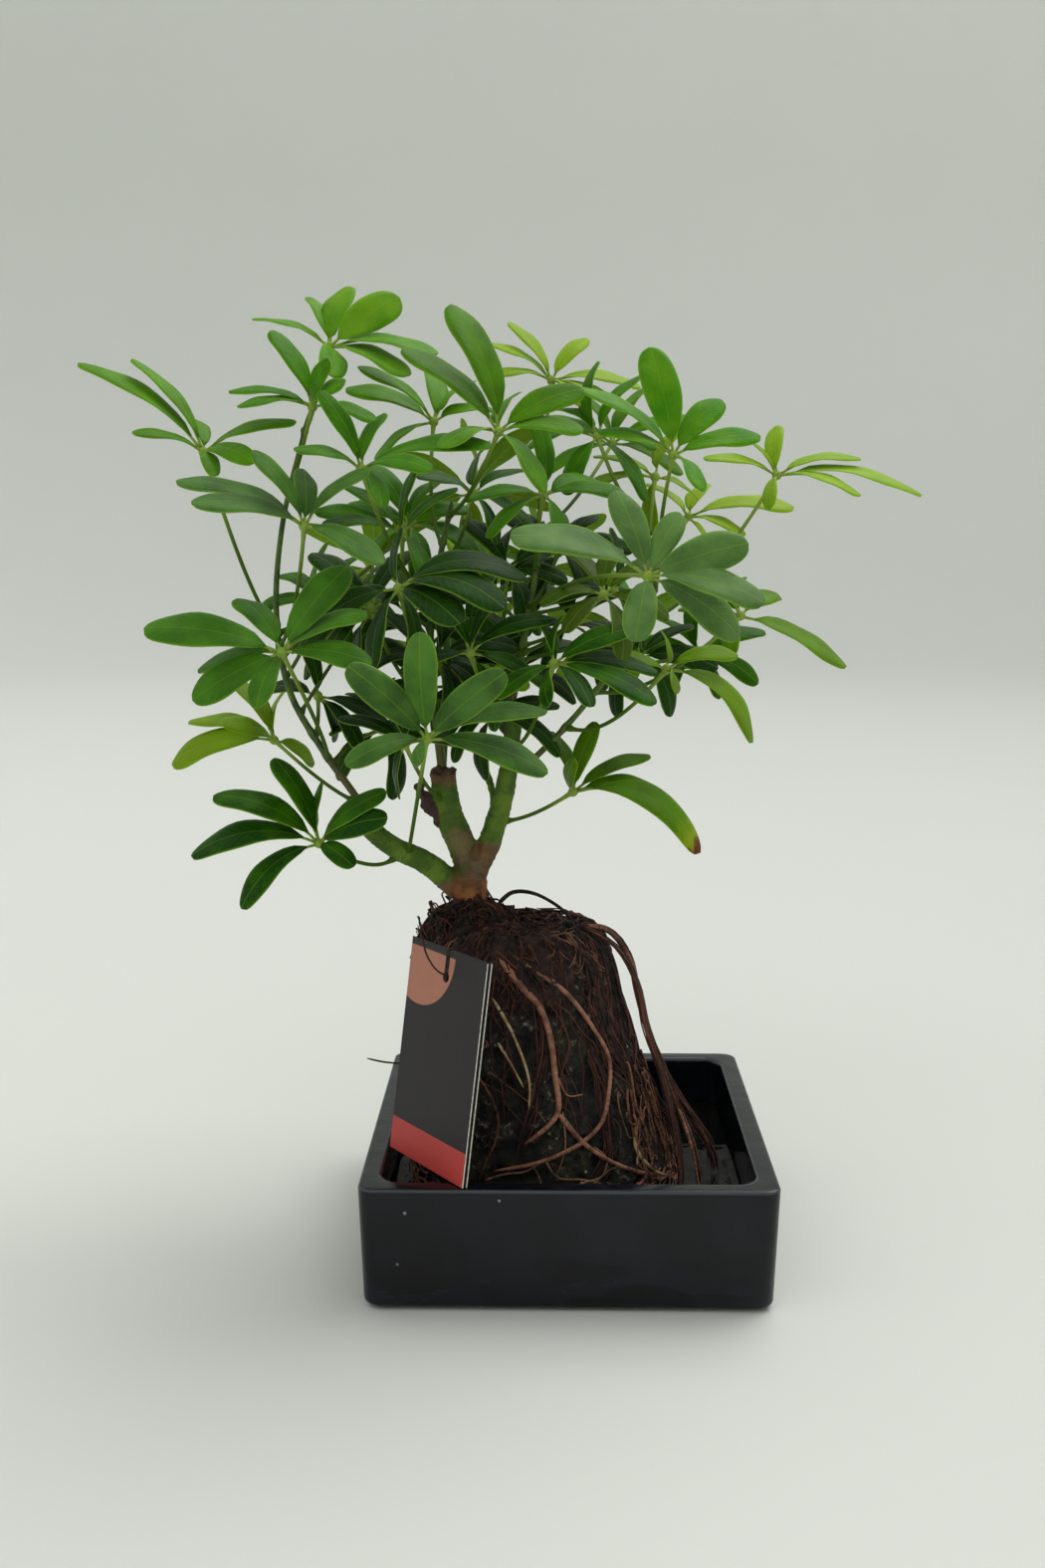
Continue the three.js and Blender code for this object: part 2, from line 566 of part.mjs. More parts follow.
const ROOTS = {
  front_roots: [
    {
      radius: 1.5,
      route: [[-26, 122], [-18, 112], [-11, 104], [-7, 93], [-5, 78], [-4, 64], [-11, 56], [-17, 52]],
    },
    { radius: 1.1, route: [[-4, 64], [5, 53], [15, 45], [27, 38], [40, 30, 2]] },
    {
      radius: 1.1,
      route: [[-20, 122], [-2, 110], [10, 94], [16, 82], [16, 71], [13, 59], [5, 52], [-11, 45], [-29, 41]],
    },
    { radius: 0.9, route: [[4, 124], [9, 120], [14, 106], [12, 90]] },
    { radius: 0.8, route: [[27, 57], [27, 46], [34, 36, 1], [40, 30, 2]] },
  ],
  pale_root_left: [{ radius: 0.7, route: [[-29, 107], [-21, 93], [-15, 76], [-15, 65]] }],
  pale_root_low: [{ radius: 0.6, route: [[-27, 90, -0.5], [-22, 82, -0.5], [-17, 73, -0.5]] }],
};

// The strands that stand off the rock's right side, as [x, y, z]. The first two hold the rest.
const SIDE_ROOTS = [
  {
    radius: 1.3,
    route: [[5, -12, 130.5], [16, -12, 128.5], [24, -12, 118], [28, -12, 103], [32, -13, 88], [38, -15, 74],
      [44, -17, 58], [50, -20, 44], [53, -22, 28.2]],
  },
  {
    radius: 1,
    route: [[5, -12, 130.5], [18, -17, 124], [27, -20, 110], [31, -23, 92], [37, -24, 74], [42, -28, 54],
      [44, -33, 40], [44, -37, 28.2]],
  },
  { radius: 0.7, route: [[38, -15, 74], [45, -10, 60], [56, -12, 42], [60, -10, 28.2]] },
  { radius: 0.7, route: [[44, -17, 58], [49, -28, 44], [52, -32, 28.2]] },
];

function buildSideRoots() {
  return toGeometry(fuse(SIDE_ROOTS.map(({ route, radius }) => (
    toSolid(bar(smoothCurve(route), taper(radius, radius * ROOT_TAPER), ROOT_SIDES, STRAND_STEPS))))));
}

// The root that holds the hang tag: it comes off the rock, passes the tag's slot and curls up.
const HOOK_ROOT = {
  radius: 0.7,
  route: [[-35.5, -31.3, 119], [-38.5, -39.5, 117.8], [-42.3, -47.5, 119.3], [-45.5, -50.3, 120.7],
    [-49, -53.4, 123.6], [-52.5, -55.5, 130], [-54, -55, 135.5], [-56, -53, 141]],
};
const ARCH_ROOT = {
  radius: 0.9,
  route: [[-28, -6, 137.5], [-22, -5, 142], [-14, -4, 141.5], [-4, -3, 136], [2, -2, 130]],
};

function buildMound(trunk, rockCover) {
  const rings = [];
  for (let i = 0; i <= MOUND_LEVELS; i += 1) {
    const turn = (i / MOUND_LEVELS) * Math.PI / 2;
    const rise = Math.sin(turn);
    const spread = Math.max(Math.cos(turn), MOUND_LID);
    const ring = [];
    for (let k = 0; k < MOUND_SIDES; k += 1) {
      const angle = 2 * Math.PI * k / MOUND_SIDES;
      const lump = 1 + MOUND_LUMP * Math.sin(3 * angle + i);
      ring.push(vec(
        MOUND_CENTRE[0] + MOUND_RADIUS[0] * spread * lump * Math.cos(angle),
        MOUND_CENTRE[1] + MOUND_RADIUS[1] * spread * lump * Math.sin(angle),
        THREE.MathUtils.lerp(MOUND_BOTTOM, MOUND_TOP, rise),
      ));
    }
    rings.push(ring);
  }
  const core = smoothCurve([[-39, 0, 120], [-38.5, 0, 140], [-38, 0, 150]]);
  const socket = toSolid(bar(core, taper(...MOUND_SOCKET), 12, 4));
  return toGeometry(toSolid(stackRings(rings)).subtract(rockCover).subtract(socket).subtract(trunk));
}

// ---------------------------------------------------------------- hang tag
// A folded card that stands in the tray's left front corner, its low edge on the rim.
const TAG_CORNER = vec(-38.2, -76.2, TRAY_HEIGHT + CLEAR);
const TAG_ACROSS = vec(-30.8, 39.3, 0).normalize();
const TAG_RISE = vec(9.6, 7.4, 85).normalize();
const TAG_SLOT = { from: 25, width: 2.6, depth: 10.5, radius: 2 };

function buildTag() {
  const face = TAG_ACROSS.clone().cross(TAG_RISE).normalize();
  const leafAt = (open) => {
    const outline = new THREE.Shape();
    outline.moveTo(0, 0);
    outline.lineTo(TAG_WIDTH, 0);
    outline.lineTo(TAG_WIDTH, TAG_HEIGHT);
    outline.lineTo(TAG_SLOT.from + TAG_SLOT.width / 2, TAG_HEIGHT);
    outline.lineTo(TAG_SLOT.from + TAG_SLOT.width / 2, TAG_HEIGHT - TAG_SLOT.depth + TAG_SLOT.radius);
    outline.absarc(TAG_SLOT.from, TAG_HEIGHT - TAG_SLOT.depth, TAG_SLOT.radius, rad(45), rad(-225), true);
    outline.lineTo(TAG_SLOT.from - TAG_SLOT.width / 2, TAG_HEIGHT);
    outline.lineTo(0, TAG_HEIGHT);
    outline.closePath();
    const options = { depth: TAG_LEAF, bevelEnabled: false, curveSegments: 6 };
    const leaf = new THREE.ExtrudeGeometry(outline, options);
    leaf.translate(-TAG_WIDTH, 0, 0);
    leaf.rotateY(open);
    leaf.translate(TAG_WIDTH, 0, 0);
    return toSolid(leaf);
  };
  const open = Math.asin(TAG_GAPE / TAG_WIDTH);
  const card = toGeometry(leafAt(open / 2).add(leafAt(-open / 2)));
  const place = new THREE.Matrix4().makeBasis(TAG_ACROSS, TAG_RISE, face);
  place.setPosition(TAG_CORNER);
  return card.applyMatrix4(place);
}

// ---------------------------------------------------------------- assembly
const finish = (color, roughness, metalness = 0) => (
  new THREE.MeshStandardMaterial({ color, roughness, metalness }));
const GLAZE = finish(0x1c2026, 0.15);
const WATER = finish(0x11181a, 0.05);
const LAVA = finish(0x1f1c1a, 0.95);
const FIBRE = finish(0x3a2318, 0.95);
const BARK = finish(0x8a6238, 0.85);
const GREEN_STEM = finish(0x5c7a2c, 0.6);
const RED_ROOT = finish(0x9a6248, 0.75);
const PALE_ROOT = finish(0xb89a70, 0.75);
const CARD = finish(0x353236, 0.6);
const YOUNG_LEAF = finish(0x6f9c1e, 0.4);
const GREEN_LEAF = finish(0x3a7a34, 0.4);
const DARK_LEAF = finish(0x1f4a20, 0.4);

const YOUNG = ['leaf_top_left', 'leaf_top_back', 'leaf_far_right', 'leaf_back_right', 'leaf_top_right'];
const DARK = ['leaf_dark_left', 'leaf_dark_right', 'leaf_inner_top', 'leaf_low_centre', 'leaf_centre_front'];

function leafColour(name) {
  if (YOUNG.includes(name)) return YOUNG_LEAF;
  return DARK.includes(name) ? DARK_LEAF : GREEN_LEAF;
}

const group = new THREE.Group();

function place(name, geometry, material) {
  const mesh = new THREE.Mesh(geometry, material);
  mesh.name = name;
  group.add(mesh);
}

const trunk = buildTrunk();
const rockCover = toSolid(buildRock(CLEAR));

place('tray', buildTray(), GLAZE);
place('water', buildWater(), WATER);
place('lava_rock', buildRock(), LAVA);
place('fibre_mound', buildMound(trunk, rockCover), FIBRE);
place('trunk', toGeometry(trunk), BARK);
for (const [name, shoot] of Object.entries(SHOOTS)) {
  place(name, bar(limbCurve(shoot), taper(shoot.from, shoot.to), LIMB_SIDES, SHOOT_STEPS), GREEN_STEM);
}
place('front_roots', buildRoots(ROOTS.front_roots), RED_ROOT);
place('pale_root_left', buildRoots(ROOTS.pale_root_left), PALE_ROOT);
place('pale_root_low', buildRoots(ROOTS.pale_root_low), PALE_ROOT);
place('side_roots', buildSideRoots(), RED_ROOT);
place('arch_root', bar(smoothCurve(ARCH_ROOT.route), () => ARCH_ROOT.radius, ROOT_SIDES, 8), FIBRE);
place('hook_root', bar(smoothCurve(HOOK_ROOT.route), () => HOOK_ROOT.radius, ROOT_SIDES, 9), FIBRE);
place('hang_tag', buildTag(), CARD);
for (const [name, leaf] of Object.entries(LEAVES)) {
  place(name, buildLeaf(leaf), leafColour(name));
}

export default group;
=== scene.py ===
"""Looks of an umbrella plant that grows over a lava rock in a square glazed tray of water.

Tables are in millimetres in the CAD's own frame: +Z is up, the front faces -Y and the origin is the
middle of the tray's flat underside. Meshes are written in metres.
"""

import logging
import math
from dataclasses import dataclass, field
from enum import Enum
from typing import Any, Optional, Sequence, Union

import bpy
import numpy as np
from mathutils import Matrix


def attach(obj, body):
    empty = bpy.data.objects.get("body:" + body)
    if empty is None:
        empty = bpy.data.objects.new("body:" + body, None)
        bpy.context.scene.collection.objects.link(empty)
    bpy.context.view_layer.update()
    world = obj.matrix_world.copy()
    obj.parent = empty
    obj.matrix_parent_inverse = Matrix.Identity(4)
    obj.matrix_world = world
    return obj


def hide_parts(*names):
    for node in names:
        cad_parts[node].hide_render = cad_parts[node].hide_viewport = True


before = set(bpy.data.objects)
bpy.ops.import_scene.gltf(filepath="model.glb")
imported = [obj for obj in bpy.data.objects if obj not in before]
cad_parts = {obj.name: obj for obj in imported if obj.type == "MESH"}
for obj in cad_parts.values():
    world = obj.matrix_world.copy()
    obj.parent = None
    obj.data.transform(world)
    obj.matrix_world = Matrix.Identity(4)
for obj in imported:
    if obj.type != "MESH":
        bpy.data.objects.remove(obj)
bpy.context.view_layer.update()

LOG = logging.getLogger("umbrella_plant")
MM = 0.001
TURN = 2 * math.pi
BODY = "root"
Array = np.ndarray
Amount = Union[Array, float]
Random = np.random.Generator
Material = bpy.types.Material
Skins = dict[str, Material]
Pair = tuple[float, float]
Triple = tuple[float, float, float]
Colour = tuple[float, float, float, float]


# ---- numbers and curves
def rgb(red: int, green: int, blue: int) -> Colour:
    """A screen colour of 0 to 255 a channel, as the linear colour that a shader takes.

    Args:
        red, green, blue: the three channels.

    Returns:
        Linear red, green, blue and an alpha of 1.
    """
    share = np.array([red, green, blue]) / 255
    linear = np.where(share > 0.04045, ((share + 0.055) / 1.055) ** 2.4, share / 12.92)
    return (float(linear[0]), float(linear[1]), float(linear[2]), 1.0)


def unit(vectors: Array) -> Array:
    """Vectors brought to length 1 along the last axis."""
    return vectors / np.linalg.norm(vectors, axis=-1, keepdims=True)


def smoothstep(low: float, high: float, value: Array) -> Array:
    """0 below low, 1 above high, and the cubic 3s^2 - 2s^3 between them."""
    share = np.clip((value - low) / (high - low), 0, 1)
    return share * share * (3 - 2 * share)


def smooth_route(points: Sequence[Sequence[float]], count: int) -> Array:
    """A smooth curve through points.

    Between two points it is the cubic whose end slopes come from the points on either side, each
    stretch weighed by the square root of its chord.

    Args:
        points: the route's points, first to last.
        count: how many samples to give, even in the number of points passed.

    Returns:
        The samples, (count, 3).
    """
    line = np.asarray(points, float)
    line = np.vstack([2 * line[0] - line[1], line, 2 * line[-1] - line[-2]])
    along = np.linspace(0, len(points) - 1, count)
    index = np.minimum(along.astype(int), len(points) - 2)
    w = (along - index)[:, None]
    p0, p1, p2, p3 = (line[index + k] for k in range(4))
    d0, d1, d2 = (
        np.sqrt(np.linalg.norm(b - a, axis=1, keepdims=True)) for a, b in ((p0, p1), (p1, p2), (p2, p3))
    )
    slope1 = ((p1 - p0) / d0 - (p2 - p0) / (d0 + d1) + (p2 - p1) / d1) * d1
    slope2 = ((p2 - p1) / d1 - (p3 - p1) / (d1 + d2) + (p3 - p2) / d2) * d1
    square = 3 * (p2 - p1) - 2 * slope1 - slope2
    cube = 2 * (p1 - p2) + slope1 + slope2
    return p1 + slope1 * w + square * w**2 + cube * w**3


def evenly(path: Array, count: int) -> Array:
    """A path sampled again at equal distances along it.

    Args:
        path: points (n, 3).
        count: the number of samples.

    Returns:
        The samples, (count, 3).
    """
    run = np.concatenate([[0.0], np.cumsum(np.linalg.norm(np.diff(path, axis=0), axis=1))])
    stops = np.linspace(0, run[-1], count)
    return np.stack([np.interp(stops, run, path[:, axis]) for axis in range(3)], axis=1)


def wander(rng: Random, count: int, steps: int, reach: float = 1.0) -> Array:
    """Smooth random offsets: a sum of sines with random directions, each weaker as it gets quicker.

    Args:
        rng: the random source.
        count: how many paths.
        steps: points on each path.
        reach: the usual size of an offset in millimetres.

    Returns:
        Offsets (count, steps, 3).
    """
    waves, pace = 4, 0.7
    t = np.linspace(0, 1, steps)[None, None, :, None]
    order = np.arange(1, waves + 1)[None, :, None, None]
    way = rng.normal(size=(count, waves, 1, 3))
    phase = rng.uniform(0, TURN, size=(count, waves, 1, 1))
    return reach * (way / order * np.sin(TURN * pace * order * t + phase)).sum(axis=1)


def ripple(points: Array, size: float, seed: int) -> Array:
    """Lumps all over space: the mean of sines in random directions, about -1 to 1.

    Args:
        points: where to read it, (..., 3).
        size: the usual length of a lump in millimetres.
        seed: picks the directions.

    Returns:
        One number a point.
    """
    waves = 14
    rng = np.random.default_rng(seed)
    aim = unit(rng.normal(size=(waves, 3)))
    way = aim * (TURN / (size * rng.uniform(0.7, 1.6, size=(waves, 1))))
    phase = rng.uniform(0, TURN, size=waves)
    return np.sin(points @ way.T + phase).sum(axis=-1) / math.sqrt(waves)


def column(rng: Random, count: int, low: float, high: float) -> Array:
    """One random number from low to high for each of count strands, (count, 1)."""
    return rng.uniform(low, high, (count, 1))


def drift(rng: Random, count: int) -> Array:
    """One random number of the normal kind for each of count strands, (count, 1)."""
    return rng.normal(size=(count, 1))


def squares_apart(points: Array, others: Array) -> Array:
    """Squared distances from each point to each of the others, as p^2 + q^2 - 2 p.q."""
    return (points**2).sum(1)[:, None] + (others**2).sum(1)[None] - 2 * points @ others.T


# ---- surfaces
@dataclass
class Surface:
    """Points in millimetres, blocks of faces, and what the material reads at each point."""

    points: Array
    faces: list[Array]
    marks: dict[str, Array] = field(default_factory=dict)

    @staticmethod
    def joined(parts: Sequence["Surface"]) -> "Surface":
        """Several surfaces as one.

        Args:
            parts: surfaces that carry the same marks.

        Returns:
            One surface with all their points, faces and marks.
        """
        starts = np.cumsum([0] + [len(part.points) for part in parts])
        faces = [block + start for part, start in zip(parts, starts) for block in part.faces]
        marks = {key: np.concatenate([part.marks[key] for part in parts]) for key in parts[0].marks}
        return Surface(np.concatenate([part.points for part in parts]), faces, marks)

    def piece(
        self, name: str, materials: Sequence[Material], slot: str, nodes: Sequence[str] = (),
        smooth: bool = True,
    ) -> None:
        """Writes the surface as an object at the origin that rides on the plant's one body.

        Args:
            name: the piece's name.
            materials: one material, or one for each block of faces.
            slot: the record's material slot; not used.
            nodes: the CAD nodes that it stands for.
            smooth: whether the faces are shaded round.
        """
        mesh = bpy.data.meshes.new(name)
        sizes = np.concatenate([np.full(len(block), block.shape[1]) for block in self.faces])
        corners = np.concatenate([block.ravel() for block in self.faces]).astype(np.int32)
        mesh.vertices.add(len(self.points))
        mesh.vertices.foreach_set("co", (self.points * MM).astype(np.float32).ravel())
        mesh.loops.add(len(corners))
        mesh.loops.foreach_set("vertex_index", corners)
        mesh.polygons.add(len(sizes))
        mesh.polygons.foreach_set("loop_start", (np.cumsum(sizes) - sizes).astype(np.int32))
        mesh.polygons.foreach_set("use_smooth", np.full(len(sizes), smooth))
        for material in materials:
            mesh.materials.append(material)
        if len(materials) > 1:
            block_of = np.repeat(np.arange(len(self.faces)), [len(block) for block in self.faces])
            mesh.polygons.foreach_set("material_index", block_of.astype(np.int32))
        for key, values in self.marks.items():
            add_mark(mesh, key, values)
        mesh.update(calc_edges=True)
        mesh.validate()
        dress(name, mesh, nodes)


def add_mark(mesh: bpy.types.Mesh, key: str, values: Array) -> None:
    """Gives the mesh a vector at each point, for the material to read."""
    mark = mesh.attributes.new(key, "FLOAT_VECTOR", "POINT")
    mark.data.foreach_set("vector", values.astype(np.float32).ravel())


def link(name: str, data: Any) -> bpy.types.Object:
    """A new object at the origin of the scene.

    Args:
        name: its name.
        data: its mesh, camera or light.

    Returns:
        The object.
    """
    made = bpy.data.objects.new(name, data)
    bpy.context.scene.collection.objects.link(made)
    return made


def dress(name: str, mesh: bpy.types.Mesh, nodes: Sequence[str] = ()) -> None:
    """Makes a finished mesh a piece that rides on the plant's body.

    Args:
        name: the piece's name.
        mesh: its mesh.
        nodes: the CAD nodes that it stands for.
    """
    made = link(name, mesh)
    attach(made, BODY)
    if nodes:
        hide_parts(*nodes)
    LOG.info("%s: %d faces", name, len(mesh.polygons))


def ring_faces(rings: int, count: int) -> list[Array]:
    """Faces of a closed stack of rings: squares between neighbours and one face over each end.

    Args:
        rings: how many rings there are.
        count: points in each ring.

    Returns:
        The squares and the two end faces.
    """
    a = np.arange(rings - 1)[:, None] * count + np.arange(count)[None, :]
    b = np.arange(rings - 1)[:, None] * count + (np.arange(count)[None, :] + 1) % count
    squares = np.stack([a, b, b + count, a + count], axis=-1).reshape(-1, 4)
    first = np.arange(count)[::-1][None, :]
    return [squares, np.concatenate([first, first[:, ::-1] + (rings - 1) * count])]


def stack(rings: Array, marks: Optional[dict[str, Array]] = None) -> Surface:
    """A closed skin over rings of equal length.

    Args:
        rings: (rings, points, 3), counter-clockwise about the way that they are stacked.
        marks: what the material reads, (rings, points, 3) each.

    Returns:
        The closed surface.
    """
    flat = {key: values.reshape(-1, 3) for key, values in (marks or {}).items()}
    return Surface(rings.reshape(-1, 3), ring_faces(rings.shape[0], rings.shape[1]), flat)


def tubes(paths: Array, radii: Array, sides: int) -> Surface:
    """Round tubes carried along many paths at once.

    A point is the path's point plus the radius times (cos a across + sin a up), where across is the
    cross product of the path's direction with the axis that the path runs least along.
    The mark "grain" holds the distance along the tube, the share of a turn, and the strand's number.

    Args:
        paths: (count, steps, 3).
        radii: the radius at each step, (count, steps).
        sides: points round a tube.

    Returns:
        All the tubes as one surface.
    """
    count, steps = paths.shape[:2]
    forward = unit(np.gradient(paths, axis=1) + 1e-9)
    axis = np.eye(3)[np.abs(forward).max(axis=1).argmin(axis=1)][:, None, :]
    across = unit(np.cross(forward, axis))
    up = np.cross(forward, across)
    turn = TURN * np.arange(sides) / sides
    spoke = np.cos(turn)[:, None] * across[:, :, None] + np.sin(turn)[:, None] * up[:, :, None]
    points = paths[:, :, None] + radii[:, :, None, None] * spoke
    run = np.cumsum(np.linalg.norm(np.diff(paths, axis=1), axis=2), axis=1)
    run = np.pad(run, ((0, 0), (1, 0)))[:, :, None]
    grain = np.stack(np.broadcast_arrays(run, turn / TURN, np.arange(count)[:, None, None]), axis=-1)
    squares, ends = ring_faces(steps, sides)
    shift = (np.arange(count) * steps * sides)[:, None, None]
    faces = [(squares[None] + shift).reshape(-1, 4), (ends[None] + shift).reshape(-1, sides)]
    return Surface(points.reshape(-1, 3), faces, {"grain": grain.reshape(-1, 3)})


def tapered(steps: int, start: float, end: float, tip: float) -> Array:
    """A radius that goes evenly from start to end, and shrinks over the last tip share of the steps."""
    t = np.linspace(0, 1, steps)
    return (start + (end - start) * t) * np.sqrt(np.clip((1 - t) / tip, 0.02, 1))


def strands(
    rng: Random, paths: Array, start: float, end: float, tip: float, most: float = 1.3, sides: int = 5
) -> Surface:
    """Fine tubes, each of its own thickness: from 0.6 to most times the radius given.

    Args:
        rng: the random source.
        paths: (count, steps, 3).
        start, end: the radius at the two ends.
        tip: the share of the steps over which a strand closes.
        most: how thick the thickest is.
        sides: points round a strand.

    Returns:
        All of them as one surface.
    """
    count, steps = paths.shape[:2]
    return tubes(paths, tapered(steps, start, end, tip)[None] * column(rng, count, 0.6, most), sides)


# ---- shader nodes
class Signal:
    """A number or colour on a node's output, on which Python's operators add Math nodes."""

    def __init__(self, shader: "Shader", socket: bpy.types.NodeSocket) -> None:
        """Keeps the shader and the socket."""
        self.shader = shader
        self.socket = socket

    def _math(self, operation: str, *values: "Number") -> "Signal":
        """One Math node on these values."""
        return self.shader.node("ShaderNodeMath", {"operation": operation}, dict(enumerate(values)))

    def __add__(self, other: "Number") -> "Signal":
        """The sum."""
        return self._math("ADD", self, other)

    __radd__ = __add__

    def __sub__(self, other: "Number") -> "Signal":
        """The difference."""
        return self._math("SUBTRACT", self, other)

    def __rsub__(self, other: "Number") -> "Signal":
        """The difference the other way round."""
        return self._math("SUBTRACT", other, self)

    def __mul__(self, other: "Number") -> "Signal":
        """The product."""
        return self._math("MULTIPLY", self, other)

    __rmul__ = __mul__

    def __abs__(self) -> "Signal":
        """The size without its sign."""
        return self._math("ABSOLUTE", self)

    def wave(self) -> "Signal":
        """The sine."""
        return self._math("SINE", self)

    def most(self, other: "Number") -> "Signal":
        """The greater of the two."""
        return self._math("MAXIMUM", self, other)

    def ramp(self, low: float, high: float) -> "Signal":
        """0 below low and 1 above high, smooth between them; low may be the greater."""
        sockets = {"Value": self, "From Min": low, "From Max": high}
        return self.shader.node("ShaderNodeMapRange", {"interpolation_type": "SMOOTHSTEP"}, sockets)


Number = Union[Signal, float]
Shade = Union[Signal, Colour]


class Shader:
    """The node tree of one material."""

    def __init__(self, name: str) -> None:
        """Starts an empty material.

        Args:
            name: the material's name.
        """
        self.material = bpy.data.materials.new(name)
        self.material.use_nodes = True
        self.tree = self.material.node_tree
        self.tree.nodes.clear()

    def node(
        self,
        kind: str,
        settings: Optional[dict[str, Any]] = None,
        sockets: Optional[dict[Union[str, int], Any]] = None,
        output: Union[str, int] = 0,
    ) -> Signal:
        """Adds a node.

        Args:
            kind: the node's type.
            settings: its properties, set first.
            sockets: values or signals for its inputs.
            output: which output to give back.

        Returns:
            That output.
        """
        made = self.tree.nodes.new(kind)
        for key, value in (settings or {}).items():
            setattr(made, key, value)
        for key, value in (sockets or {}).items():
            if isinstance(value, Signal):
                self.tree.links.new(value.socket, made.inputs[key])
            else:
                made.inputs[key].default_value = value
        return Signal(self, made.outputs[output])

    def place(self) -> Signal:
        """Where a point is in the plant's frame, in metres."""
        return self.node("ShaderNodeTexCoord", output="Object")

    def parts(self, vector: Signal) -> tuple[Signal, ...]:
        """The three numbers of a vector."""
        made = self.node("ShaderNodeSeparateXYZ", {}, {0: vector}).socket.node
        return tuple(Signal(self, output) for output in made.outputs)

    def mark(self, name: str) -> Signal:
        """A vector that the mesh carries at its points."""
        return self.node("ShaderNodeAttribute", {"attribute_name": name}, output="Vector")

    def noise(self, scale: float, detail: float = 3.0, vector: Optional[Signal] = None) -> Signal:
        """Cloudy noise of 0 to 1.

        Args:
            scale: lumps to a metre.
            detail: how many finer layers it has.
            vector: where it is read, the plant's frame if not given.

        Returns:
            The noise.
        """
        where = vector or self.place()
        return self.node("ShaderNodeTexNoise", {}, {"Vector": where, "Scale": scale, "Detail": detail})

    def cells(self, scale: float) -> Signal:
        """Distance to the nearest of scattered points, so many to a metre."""
        return self.node("ShaderNodeTexVoronoi", {}, {"Vector": self.place(), "Scale": scale}, "Distance")

    def stretched(self, scale: Triple) -> Signal:
        """The plant's frame scaled on each axis."""
        return self.node("ShaderNodeMapping", {}, {"Vector": self.place(), "Scale": scale})

    def mix(self, share: Number, first: Shade, second: Shade, blend: str = "MIX") -> Signal:
        """The first colour where share is 0 and its blend with the second where it is 1."""
        settings = {"data_type": "RGBA", "blend_type": blend}
        return self.node("ShaderNodeMix", settings, {0: share, 6: first, 7: second}, 2)

    def dim(self, colour: Shade, level: Number) -> Signal:
        """A colour with each channel multiplied by one level."""
        grey = self.node("ShaderNodeCombineColor", {}, {0: level, 1: level, 2: level})
        return self.mix(1.0, colour, grey, "MULTIPLY")

    def bump(self, height: Signal, depth: float) -> Signal:
        """A normal from a height of 0 to 1 that stands for depth metres."""
        return self.node("ShaderNodeBump", {}, {"Strength": 1.0, "Distance": depth, "Height": height})

    def finish(self, **sockets: Any) -> Material:
        """Closes the tree with one Principled shader.

        Args:
            sockets: its inputs, with _ for a space in the name.

        Returns:
            The material.
        """
        named = {key.replace("_", " "): value for key, value in sockets.items()}
        surface = self.node("ShaderNodeBsdfPrincipled", {}, named)
        end = self.tree.nodes.new("ShaderNodeOutputMaterial")
        self.tree.links.new(surface.socket, end.inputs["Surface"])
        return self.material


# ---- finishes
@dataclass(frozen=True)
class Glaze:
    """Glossy near-black ceramic with a faint blue cast, low streaks, painted dark reflections low on its
    sides, a rim edge that is pale from glaze break and painted highlight, and a few pale specks.
    """

    deep: Colour = rgb(6, 9, 16)
    grey: Colour = rgb(20, 25, 36)
    dark_reflection: Colour = rgb(2, 3, 4)
    edge_break_and_highlight: Colour = rgb(96, 100, 110)
    speck: Colour = rgb(132, 136, 140)

    def build(self) -> Material:
        """Lays the glaze's nodes.

        Returns:
            The material.
        """
        s = Shader("glaze")
        _, _, z = s.parts(s.place())
        cloud = s.noise(35, 4).ramp(0.35, 0.7)
        streak = s.noise(1.0, 4, s.stretched((45, 45, 260))).ramp(0.5, 0.68) * z.ramp(0.022, 0.008)
        body = s.mix(cloud * 0.45 + streak * 0.3, self.deep, self.grey)
        # painted reflection: dark irregular patches low on the sides stand for dark surroundings mirrored in
        # the glaze
        dark_reflections = s.noise(1.0, 5, s.stretched((26, 26, 95))).ramp(0.5, 0.57) * z.ramp(0.029, 0.02)
        body = s.mix(dark_reflections * 0.85, body, self.dark_reflection)
        # painted highlight and glaze break: a pale line round the rim's rounded outer edge, where the glaze
        # thins and where light catches it
        body = s.mix(z.ramp(0.0466, 0.0472) * z.ramp(0.048, 0.0476) * 0.4, body, self.edge_break_and_highlight)
        cells = s.cells(120)
        lucky = s.noise(61, 0).ramp(0.70, 0.73)
        body = s.mix(cells.ramp(0.09, 0.05) * lucky, body, self.speck)
        rough = s.noise(90, 3) * 0.10 + streak * 0.12 + 0.14 - dark_reflections * 0.1
        skin = s.bump(s.noise(70, 1) * 0.8 + s.noise(420, 2) * 0.12, 0.0005)
        return s.finish(Base_Color=body, Roughness=rough, Normal=skin, Specular_IOR_Level=0.3)


@dataclass(frozen=True)
class StillWater:
    """Shallow water over the black bowl, dark and mirror-smooth but for slow ripples."""

    deep: Colour = rgb(9, 12, 13)
    silt: Colour = rgb(24, 22, 18)

    def build(self) -> Material:
        """Lays the water's nodes.

        Returns:
            The material.
        """
        s = Shader("still_water")
        body = s.mix(s.noise(60, 3).ramp(0.45, 0.75), self.deep, self.silt)
        waves = s.bump(s.noise(28, 1) + s.noise(120, 1) * 0.25, 0.0012)
        return s.finish(Base_Color=body, Roughness=0.03, IOR=1.33, Normal=waves, Specular_IOR_Level=0.08)


